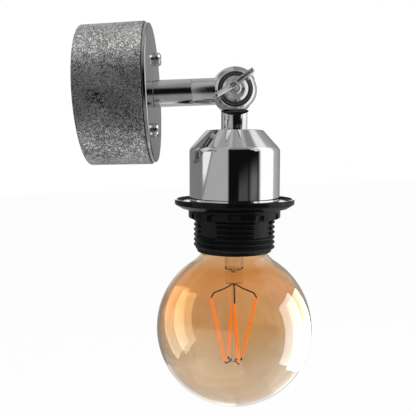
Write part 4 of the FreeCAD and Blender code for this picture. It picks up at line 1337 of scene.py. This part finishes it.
@dataclass
class Holder(Assembly):
    """Polished cup, threaded skirt, shade ring and the holder's inner parts.

    Lengths are in millimetres and angles in degrees. A top, bottom, floor or end is
    counted down from the ball's middle.
    """

    body: str = "head"
    cup_top: float = 19.2
    cup_height: float = 34.5
    cup_top_radius: float = 14.0
    cup_radius: float = 22.4
    cone_height: float = 9.3
    cup_wall: float = 0.8
    lip_width: float = 0.3
    lip_height: float = 1.0
    skirt_top: float = 46.2
    skirt_bottom: float = 79.1
    skirt_radius: float = 20.25
    thread_pitch: float = 2.5
    thread_depth: float = 1.15
    thread_top: float = 55.0
    thread_end: float = 77.3
    band_radius: float = 18.6
    bore_radius: float = 17.2
    flat_end: float = 70.6
    flat_half_angle: float = 17.0
    flat_edge: float = 1.2
    flat_step: float = 0.4
    run_in: float = 1.5
    run_out: float = 0.6
    run_gap: float = 0.35
    crest_power: float = 0.8
    bottom_round: float = 0.5
    core_ledge_top: float = 57.4
    ledge_top: float = 60.2
    ledge_bottom: float = 62.2
    ledge_radius: float = 14.7
    core_ledge_radius: float = 17.3
    cap_thread_radius: float = 18.65
    ring_floor: float = 54.2
    ring_radius: float = 29.7
    rim_width: float = 0.9
    rim_height: float = 1.3
    flange_thickness: float = 1.2
    flange_fall: float = 2.0
    ring_underside_radius: float = 26.4
    collar_radius: float = 22.9
    collar_end: float = 62.4
    notch_count: int = 12
    notch_width: float = 2.0
    notch_length: float = 4.2
    inner: dict = field(default_factory=lambda: {
        "neck_nipple": Look.ZINC, "cup_washer": Look.ZINC, "cup_nut": Look.ZINC,
        "holder_cap": Look.BLACK, "holder_core": Look.GLAZE, "holder_terminals": Look.BRASS,
        "holder_terminal_screws": Look.ZINC, "head_wires": Look.SHEATH,
        "screw_shell": Look.BRASS, "centre_contact": Look.BRASS,
    })

    def build(self) -> None:
        """Makes the pieces and dresses them."""
        self.add(self.cup(), Look.MIRROR, "cup")
        self.add(self.skirt(), Look.BLACK, "holder_skirt")
        self.add(self.ring(), Look.GLOSS, "shade_ring", "shade_ring")
        self.carry(self.inner)

    def cup(self) -> bpy.types.Object:
        """The spun cup: flat top, cone, rounded shoulder, straight wall, rolled lip.

        Returns:
            The cup in place.
        """
        top, wall = self.cup_top, self.cup_wall
        shoulder = top + self.cone_height
        bottom = top + self.cup_height
        lip, lip_top = self.cup_radius + self.lip_width, bottom - self.lip_height
        outline = rounded([
            (NIPPLE_BORE, top),
            (self.cup_top_radius, top, 0.9),
            (self.cup_radius, shoulder, 3.2),
            (self.cup_radius, lip_top, 0.5),
            (lip, bottom, 0.25),
            (lip - wall, bottom, 0.25),
            (self.cup_radius - wall, lip_top, 0.5),
            (self.cup_radius - wall, shoulder + wall * 0.4, 2.4),
            (self.cup_top_radius - wall * 0.4, top + wall, 0.3),
            (NIPPLE_BORE, top + wall),
        ], Corner.SMOOTH)
        return new_piece("spun_cup", turned(outline, Axis.DOWN.matrix(), 256))

    def skirt_surface(self, angle: float, down: float) -> float:
        """Outside radius of the skirt.

        Args:
            angle: Angle round the head's axis, in radians.
            down: Distance below the ball's middle, in millimetres.

        Returns:
            The radius there, in millimetres.
        """
        run_end = self.thread_end + self.run_gap
        if down > run_end:
            return self.band_radius
        root = self.skirt_radius - self.thread_depth
        phase = (down / self.thread_pitch + angle / (2 * math.pi)) % 1.0
        wave = 0.5 + 0.5 * math.cos(2 * math.pi * phase)
        crest = self.thread_depth * wave ** self.crest_power
        start = faded(down - self.thread_top, self.run_in)
        end = faded(run_end - down, self.run_out)
        quarter = abs(math.degrees(angle) % 90.0 - 45.0)
        off_flat = faded(quarter - self.flat_half_angle + self.flat_edge / 2, self.flat_edge)
        below_flat = faded(down - self.flat_end, self.flat_step)
        return root + crest * start * end * max(off_flat, below_flat)

    def skirt(self) -> bpy.types.Object:
        """The skirt with its thread, the smooth flats across its upper turns, and its bore.

        Returns:
            The skirt in place.
        """
        segments, step = 288, 0.125
        angles = [2 * math.pi * index / segments for index in range(segments)]
        rows = []
        for row in range(int((self.skirt_bottom - self.skirt_top) / step) + 1):
            down = self.skirt_top + row * step
            trim = max(0.0, self.bottom_round - (self.skirt_bottom - down))
            rows.append(([self.skirt_surface(angle, down) - trim * trim for angle in angles], down))
        inner = rounded([
            (self.band_radius - self.bottom_round, self.skirt_bottom),
            (self.bore_radius, self.skirt_bottom, 0.5),
            (self.bore_radius, self.ledge_bottom, 0.5),
            (self.ledge_radius, self.ledge_bottom, 0.4),
            (self.ledge_radius, self.ledge_top, 0.4),
            (self.core_ledge_radius, self.ledge_top),
            (self.core_ledge_radius, self.core_ledge_top),
            (self.cap_thread_radius, self.core_ledge_top),
            (self.cap_thread_radius, self.skirt_top),
        ])
        rows += [([radius] * segments, down) for radius, down in inner]
        return new_piece("threaded_skirt", ringed(rows, Axis.DOWN.matrix()), 50.0)

    def ring(self) -> bpy.types.Object:
        """Shade ring: dished flange with an upturned lip and a collar with finger notches.

        Returns:
            The ring in place.
        """
        floor = self.ring_floor
        rim, rim_top = self.ring_radius - self.rim_width, floor - self.rim_height
        edge = floor + self.flange_thickness
        underside = edge + self.flange_fall
        bore = self.skirt_radius + 0.1
        outline = rounded([
            (bore, floor, 0.3),
            (rim - 0.2, floor, 0.5),
            (rim, rim_top, 0.4),
            (self.ring_radius, rim_top, 0.4),
            (self.ring_radius, edge, 0.8),
            (self.ring_underside_radius, underside, 1.0),
            (self.collar_radius, underside + 0.6, 0.8),
            (self.collar_radius, self.collar_end, 0.9),
            (bore, self.collar_end, 0.4),
            (bore, floor),
        ])
        place = Axis.DOWN.matrix()
        piece = new_piece("ring_moulding", turned(outline, place, 240))
        notches = []
        for k in range(self.notch_count):
            spin = place @ Matrix.Rotation(2 * math.pi * k / self.notch_count, 4, "Z")
            middle = Vector((self.collar_radius + 0.3, 0))
            notch = box_outline(self.notch_width, self.notch_length, middle)
            notches.append(prism(notch, spin, underside + 2.0, self.collar_end + 1))
        shaped(piece, notches, Cut.AWAY, 30.0)
        return softened(piece, 0.15, 2, 35.0)


@dataclass
class Bulb(Assembly):
    """Screw cap, gold glass globe, stem and four filaments.

    Lengths are in millimetres and angles in degrees. The globe's drop and the glass's and
    filaments' tops are counted down from the ball's middle.
    """

    body: str = "bulb"
    globe_radius: float = 39.0
    globe_drop: float = 117.85
    wall: float = 1.0
    neck_radius: float = 12.9
    neck_blend: float = 19.0
    glass_top: float = 64.65
    top_circle: float = 11.5
    low_circle: float = 5.2
    filament_top: float = 103.5
    filament_low: float = 135.6
    twist: float = 30.0
    filament_radius: float = 0.65
    filament_count: int = 4
    blend_steps: int = 24
    sphere_steps: int = 96
    inner: dict = field(default_factory=lambda: {
        "cap_insulator": Look.BLACK_GLASS, "driver_board": Look.BOARD,
        "stem_rod": Look.STEM_GLASS, "glass_stem": Look.STEM_GLASS,
        "filament_wires": Look.LEAD, "bulb_cap": Look.CAP, "cap_contact": Look.ZINC,
    })

    def build(self) -> None:
        """Makes the pieces and dresses them."""
        self.add(self.globe(), Look.GOLD_GLASS, "glass_globe")
        self.add(self.filaments(), Look.PHOSPHOR, "filaments")
        self.carry(self.inner)

    def globe_line(self, radius: float, neck: float, blend: float) -> list[Vector]:
        """The globe's outline from its neck to its lowest point.

        Args:
            radius: The sphere's radius.
            neck: The neck's radius.
            blend: Radius of the sweep from neck to sphere.

        Returns:
            Points as (radius, down).
        """
        middle = neck + blend
        rise = math.sqrt((radius + blend) ** 2 - middle ** 2)
        sweep = math.atan2(rise, middle)
        centre = Vector((middle, self.globe_drop - rise))
        line = [Vector((neck, self.glass_top)), Vector((neck, centre.y - 1.0))]
        for step in range(self.blend_steps + 1):
            angle = sweep * step / self.blend_steps
            line.append(centre + Vector((-math.cos(angle), math.sin(angle))) * blend)
        for step in range(1, self.sphere_steps + 1):
            angle = (math.pi / 2 + sweep) * step / self.sphere_steps - sweep
            line.append(Vector((radius * math.cos(angle), self.globe_drop + radius * math.sin(angle))))
        line[-1].x = 0.0
        return line

    def globe(self) -> bpy.types.Object:
        """The blown globe with an even wall.

        Returns:
            The globe in place, which other pieces don't mirror.
        """
        outer = self.globe_line(self.globe_radius, self.neck_radius, self.neck_blend)
        inner = self.globe_line(self.globe_radius - self.wall, self.neck_radius - self.wall,
                                self.neck_blend + self.wall)
        lines = (outer, list(reversed(inner)))
        mesh = joined([turned(line, Axis.DOWN.matrix(), 160, False) for line in lines])
        edges = [edge for edge in mesh.edges if edge.is_boundary]
        bmesh.ops.bridge_loops(mesh, edges=edges)
        piece = new_piece("blown_globe", mesh, 60.0)
        piece.visible_glossy = False
        return piece

    def filament_path(self, start: float) -> list[Vector]:
        """The line of one filament.

        Args:
            start: Angle of its upper end round the bulb, in radians.

        Returns:
            Points in millimetres, down along -Z, with one close to each end.
        """
        finish = start + math.radians(self.twist)
        top = Vector((self.top_circle * math.cos(start), self.top_circle * math.sin(start),
                      -self.filament_top))
        end = Vector((self.low_circle * math.cos(finish), self.low_circle * math.sin(finish),
                      -self.filament_low))
        margin = (end - top).normalized() * 0.3
        between = [top.lerp(end, share / 8) for share in range(1, 8)]
        return [top, top + margin, *between, end - margin, end]

    def filaments(self) -> bpy.types.Object:
        """Four coated strips that lean in towards the rod.

        Returns:
            All the strips as one piece.
        """
        starts = [2 * math.pi * index / self.filament_count for index in range(self.filament_count)]
        strips = [swept(self.filament_path(start), self.filament_radius, head_place(), 16)
                  for start in starts]
        return new_piece("filament_strips", joined(strips), 50.0)


@dataclass(frozen=True)
class Panel:
    """A panel of light or dark that glossy pieces see.

    Turn is counted round the vertical, from straight behind the camera, in degrees.
    It grows towards the right of the picture. Rise is counted up from level.
    Lean moves the right-hand edge by so many degrees for each degree of rise.
    """

    turn: tuple[float, float]
    rise: tuple[float, float]
    level: float
    turn_blur: float = 3.0
    rise_blur: float = 3.0
    lean: float = 0.0

    def window(self, graph: Graph, value: Value, span: tuple[float, float], blur: float,
               shift: "Value | float" = 0.0) -> Value:
        """1 inside a span and 0 outside it.

        Args:
            graph: The graph to write in.
            value: The angle.
            span: Where the panel starts and ends.
            blur: Half the width of its edges.
            shift: How far the span's end is moved.

        Returns:
            The share of the panel seen.
        """
        low, high = span
        inside = graph.ramp(value, low - blur, low + blur)
        ending = value - shift if self.lean else value
        return inside * (1.0 - graph.ramp(ending, high - blur, high + blur))

    def over(self, graph: Graph, below: Value, turn: Value, rise: Value) -> Value:
        """Lays the panel over what is there already.

        Args:
            graph: The graph to write in.
            below: The level so far.
            turn: The direction's turn.
            rise: The direction's rise.

        Returns:
            The new level.
        """
        across = self.window(graph, turn, self.turn, self.turn_blur, rise * self.lean)
        share = across * self.window(graph, rise, self.rise, self.rise_blur)
        return below + (self.level - below) * share


PANELS = (
    # Broad greys: behind on the left, left, ahead, high on the left
    Panel((-158.0, -88.0), (-64.0, 20.0), 0.22, 4.0, 12.0),
    Panel((-88.0, -17.0), (-90.0, 60.0), 0.43, 3.0, 14.0),
    Panel((-17.0, 62.0), (-90.0, 90.0), 0.30, 3.0, 10.0),
    Panel((-150.0, -60.0), (24.0, 100.0), 0.37, 8.0, 8.0),
    Panel((-150.0, -128.0), (34.0, 52.0), 0.17, 6.0, 6.0),
    Panel((-160.0, -108.0), (19.0, 34.0), 0.62, 6.0, 4.0),
    Panel((-120.0, -103.0), (59.0, 71.0), 0.5, 5.0, 3.0),
    # Tall window on the left, which narrows downwards beside a dark frame
    Panel((-89.0, -69.0), (-2.5, 6.0), 0.24, 1.0, 1.0, 7.0),
    Panel((-88.0, -74.0), (-0.8, 6.0), 0.95, 1.0, 1.0, 7.0),
    Panel((-110.0, -84.0), (5.0, 17.0), 0.95, 3.0, 1.0),
    Panel((-80.0, -46.0), (5.0, 20.0), 0.12, 3.0, 1.0),
    # Tall window on the right, its upper part and the ceiling beside it
    Panel((66.0, 112.0), (-62.0, 52.0), 1.2, 4.0, 4.0),
    Panel((106.0, 126.0), (24.0, 58.0), 0.9, 4.0, 4.0),
    Panel((84.0, 108.0), (59.0, 72.0), 0.27, 3.0, 3.0),
    Panel((36.0, 80.0), (75.0, 100.0), 0.36, 5.0, 3.0),
    # The dark room behind the camera and what stands in it
    Panel((-17.0, 62.0), (-18.0, 40.0), 0.005, 3.0, 14.0),
    Panel((9.0, 32.0), (-14.0, -3.3), 0.07, 3.0, 1.5),
    Panel((38.0, 58.0), (-7.0, -3.3), 0.15, 6.0, 1.5),
    Panel((44.0, 72.0), (24.0, 44.0), 0.6, 3.0, 3.0),
    Panel((50.0, 61.0), (8.0, 24.0), 0.9, 2.0, 3.0),
    Panel((50.0, 61.0), (-20.0, -9.0), 0.9, 2.0, 2.0),
    Panel((-67.0, -43.0), (-30.0, -13.0), 0.02, 3.0, 3.0),
    # The room behind the light, as the front plate mirrors it, and the table below
    Panel((160.0, 190.0), (-30.0, 2.0), 0.22, 2.0, 6.0),
    Panel((160.0, 190.0), (2.0, 30.0), 0.28, 2.0, 6.0),
    Panel((-190.0, -100.0), (-100.0, -75.0), 0.8, 4.0, 3.0),
)


@dataclass(frozen=True)
class Card:
    """A lit card that only some pieces mirror; turn and rise are counted as a panel's, sizes in metres."""

    name: str
    pieces: tuple[str, ...]
    middle: Vector
    turn: float
    rise: float
    size: tuple[float, float]
    level: float
    distance: float = 0.5

    def towards(self) -> Vector:
        """The direction from the pieces to the card."""
        turn, rise = math.radians(self.turn), math.radians(self.rise)
        return Vector((-math.cos(rise) * math.cos(turn), -math.cos(rise) * math.sin(turn), math.sin(rise)))


# The pieces that cards are for, and the places in metres that cards are aimed at
GLOBE_PIECES = ("blown_globe",)
DRUM_PIECES = ("drum",)
KNUCKLE_PIECES = ("near_half", "far_half", "arm_sleeve", "wing_screw_body")
GLOBE_MIDDLE = Vector((0.0, -0.0723, -0.1178))
DRUM_MIDDLE = Vector((0.0, -0.016, 0.0))
PLATE_MIDDLE = Vector((0.0, -0.0328, 0.0))
RING_MIDDLE = Vector((0.0, -0.0723, -0.0565))

CARDS = (
    Card("right_window", GLOBE_PIECES, GLOBE_MIDDLE, 93.0, -8.0, (0.36, 0.64), 7.0),
    Card("left_window", GLOBE_PIECES, GLOBE_MIDDLE, -104.0, -8.0, (0.56, 0.62), 0.1),
    Card("pale_room", GLOBE_PIECES, GLOBE_MIDDLE, -27.0, -24.0, (0.56, 0.7), 0.8),
    Card("table_bounce", GLOBE_PIECES, GLOBE_MIDDLE, 0.0, -90.0, (1.2, 1.2), 0.5, 0.4),
    Card("sky_card", DRUM_PIECES, DRUM_MIDDLE, 0.0, 88.0, (0.8, 0.7), 0.5),
    Card("ground_card", DRUM_PIECES, DRUM_MIDDLE, 180.0, -86.0, (0.8, 0.7), 0.28),
    Card("ring_light", ("ring_moulding",), RING_MIDDLE, 180.0, 6.0, (0.3, 0.12), 2.0),
    Card("white_ground", KNUCKLE_PIECES, BALL * MM, 150.0, -6.0, (0.3, 0.5), 1.2),
    Card("room_card", ("wing_screw_body",), BALL * MM, 5.0, 6.0, (0.12, 0.09), 0.5),
    Card("high_card", ("cover_screw_pair",), PLATE_MIDDLE, 60.0, 50.0, (0.5, 0.3), 1.8),
    Card("low_card", ("cover_screw_pair",), PLATE_MIDDLE, 60.0, -50.0, (0.5, 0.3), 1.8),
)


@dataclass(frozen=True)
class SoftBox:
    """A round soft light on every piece, its place and size in metres and its power in watts."""

    name: str
    place: Vector
    size: float
    power: float


SOFT_BOX_AIM = Vector((0.0, -0.05, -0.07))
SOFT_BOXES = (
    SoftBox("top_box", Vector((-0.35, -0.25, 0.75)), 0.7, 5.0),
    SoftBox("right_box", Vector((-0.35, -0.85, 0.05)), 0.6, 3.2),
    SoftBox("left_box", Vector((-0.55, 0.55, 0.15)), 0.5, 1.6),
)


def spun(first: Vector, second: Vector, angle: float) -> tuple[Vector, Vector]:
    """Turns two upright unit vectors in their own plane, the first towards the second."""
    cosine, sine = math.cos(angle), math.sin(angle)
    return first * cosine + second * sine, second * cosine - first * sine


@dataclass
class Studio:
    """Camera, pale floor, soft boxes, lit cards and the white surround.

    Lengths are in metres and angles in radians. The far turns and levels are those of the
    surround behind the light, counted as a panel's.
    """

    camera_place: Vector = field(default_factory=lambda: Vector((-0.285, -0.0623, -0.0295)))
    yaw: float = math.radians(-1.05)
    pitch: float = math.radians(-5.55)
    roll: float = math.radians(-2.09)
    focal_pixels: float = 573.2
    frame_pixels: float = 416.0
    floor_height: float = -0.42
    floor_half_width: float = 6.0
    floor_glow: float = 0.95
    floor_dark: tuple = (0.92, 0.92, 0.92)
    floor_light: tuple = (0.95, 0.95, 0.95)
    matt_level: float = 0.62
    far_turns: tuple = (112.0, 162.0)
    far_levels: tuple = (0.49, 0.27)

    def build(self) -> None:
        """Sets everything up."""
        self.camera()
        self.floor()
        self.lamps()
        self.cards()
        self.surround()
        view = bpy.context.scene.view_settings
        view.view_transform = "Standard"

    def camera(self) -> None:
        """The camera at the photograph's place and angle."""
        ahead, right, up = Vector((1, 0, 0)), Vector((0, -1, 0)), Vector((0, 0, 1))
        ahead, right = spun(ahead, right, self.yaw)
        ahead, up = spun(ahead, up, self.pitch)
        right, up = spun(right, up, self.roll)
        data = bpy.data.cameras.new("camera")
        data.sensor_width = 36.0
        data.lens = self.focal_pixels / self.frame_pixels * data.sensor_width
        data.clip_start = 0.01
        made = bpy.data.objects.new("camera", data)
        turn = Matrix((right, up, -ahead)).transposed().to_4x4()
        made.matrix_world = Matrix.Translation(self.camera_place) @ turn
        bpy.context.scene.collection.objects.link(made)
        bpy.context.scene.camera = made

    def floor(self) -> None:
        """A wide pale floor well below the light."""
        mesh = bmesh.new()
        bmesh.ops.create_grid(mesh, x_segments=1, y_segments=1, size=self.floor_half_width / MM)
        bmesh.ops.translate(mesh, vec=(0, 0, self.floor_height / MM), verts=mesh.verts)
        made = new_piece("floor", mesh)
        made.visible_glossy = False
        m = Material("pale_floor")
        seen_by_camera = m.light_path("Is Camera Ray")
        fine = m.noise(m.place(), 3.0, 2.0)
        colour = m.mix(m.ramp(fine, *MIDRANGE), self.floor_dark, self.floor_light)
        shader = m.node("ShaderNodeBsdfPrincipled", None, {"Base Color": colour, "Roughness": 0.7})
        glow = m.node("ShaderNodeEmission", None, {"Color": (1, 1, 1, 1), "Strength": 1.0})
        shares = {0: seen_by_camera * self.floor_glow, 1: shader, 2: glow}
        seen = m.node("ShaderNodeMixShader", None, shares)
        m.node("ShaderNodeOutputMaterial", None, {"Surface": seen})
        made.data.materials.append(m.made)

    def hung(self, data: bpy.types.Light, place: Vector, ahead: Vector) -> bpy.types.Object:
        """Hangs a light in its place, where only what it lights shows it.

        Args:
            data: The light.
            place: Where it hangs, in metres.
            ahead: The direction that it shines in.

        Returns:
            The light's object.
        """
        made = bpy.data.objects.new(data.name, data)
        made.location = place
        made.rotation_euler = ahead.to_track_quat("-Z", "Y").to_euler()
        made.visible_camera = False
        made.visible_transmission = False
        bpy.context.scene.collection.objects.link(made)
        return made

    def lamps(self) -> None:
        """Soft boxes: a large one above, one on each side."""
        for box in SOFT_BOXES:
            data = bpy.data.lights.new(box.name, "AREA")
            data.shape = "DISK"
            data.size = box.size
            data.energy = box.power
            self.hung(data, box.place, SOFT_BOX_AIM - box.place).visible_glossy = False

    def cards(self) -> None:
        """The lit cards, each linked to the pieces that mirror it."""
        for card in CARDS:
            receivers = bpy.data.collections.new(f"{card.name}_pieces")
            for piece in card.pieces:
                receivers.objects.link(bpy.data.objects[piece])
            width, height = card.size
            data = bpy.data.lights.new(card.name, "AREA")
            data.shape = "RECTANGLE"
            data.size, data.size_y = width, height
            data.energy = card.level * math.pi * width * height
            offset = card.towards() * card.distance
            made = self.hung(data, card.middle + offset, -offset)
            made.light_linking.receiver_collection = receivers

    def surround(self) -> None:
        """White all round for the camera, and panels of light and dark for gloss."""
        world = bpy.data.worlds.new("surround")
        world.use_nodes = True
        bpy.context.scene.world = world
        g = Graph(world.node_tree)
        direction = g.node("ShaderNodeTexCoord", None, None, "Generated")
        east, north, high = (g.part(direction, name) for name in "XYZ")
        turn = g.math("ARCTAN2", 0.0 - north, 0.0 - east) * math.degrees(1)
        rise = g.math("ARCSINE", high) * math.degrees(1)
        level = g.ramp(turn, *self.far_turns, *self.far_levels)
        for panel in PANELS:
            level = panel.over(g, level, turn, rise)
        level = level + (self.matt_level - level) * g.light_path("Is Diffuse Ray")
        unmirrored = 1.0 - g.math("MINIMUM", g.light_path("Glossy Depth"), 1.0)
        through = g.light_path("Is Transmission Ray") * unmirrored
        white = g.math("MAXIMUM", g.light_path("Is Camera Ray"), through)
        strength = level + (1.0 - level) * white
        glow = g.node("ShaderNodeBackground", None, {"Color": (1, 1, 1, 1), "Strength": strength})
        g.node("ShaderNodeOutputWorld", None, {"Surface": glow})


def main() -> None:
    """Builds the light, piece by piece, and sets up the studio."""
    logging.basicConfig(level=logging.INFO, format="%(name)s: %(message)s")
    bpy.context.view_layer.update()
    for assembly in (WallBase(), Knuckle(), Holder(), Bulb()):
        assembly.build()
        LOG.info("%s built", type(assembly).__name__)
    Studio().build()


if __name__ == "__main__":
    main()
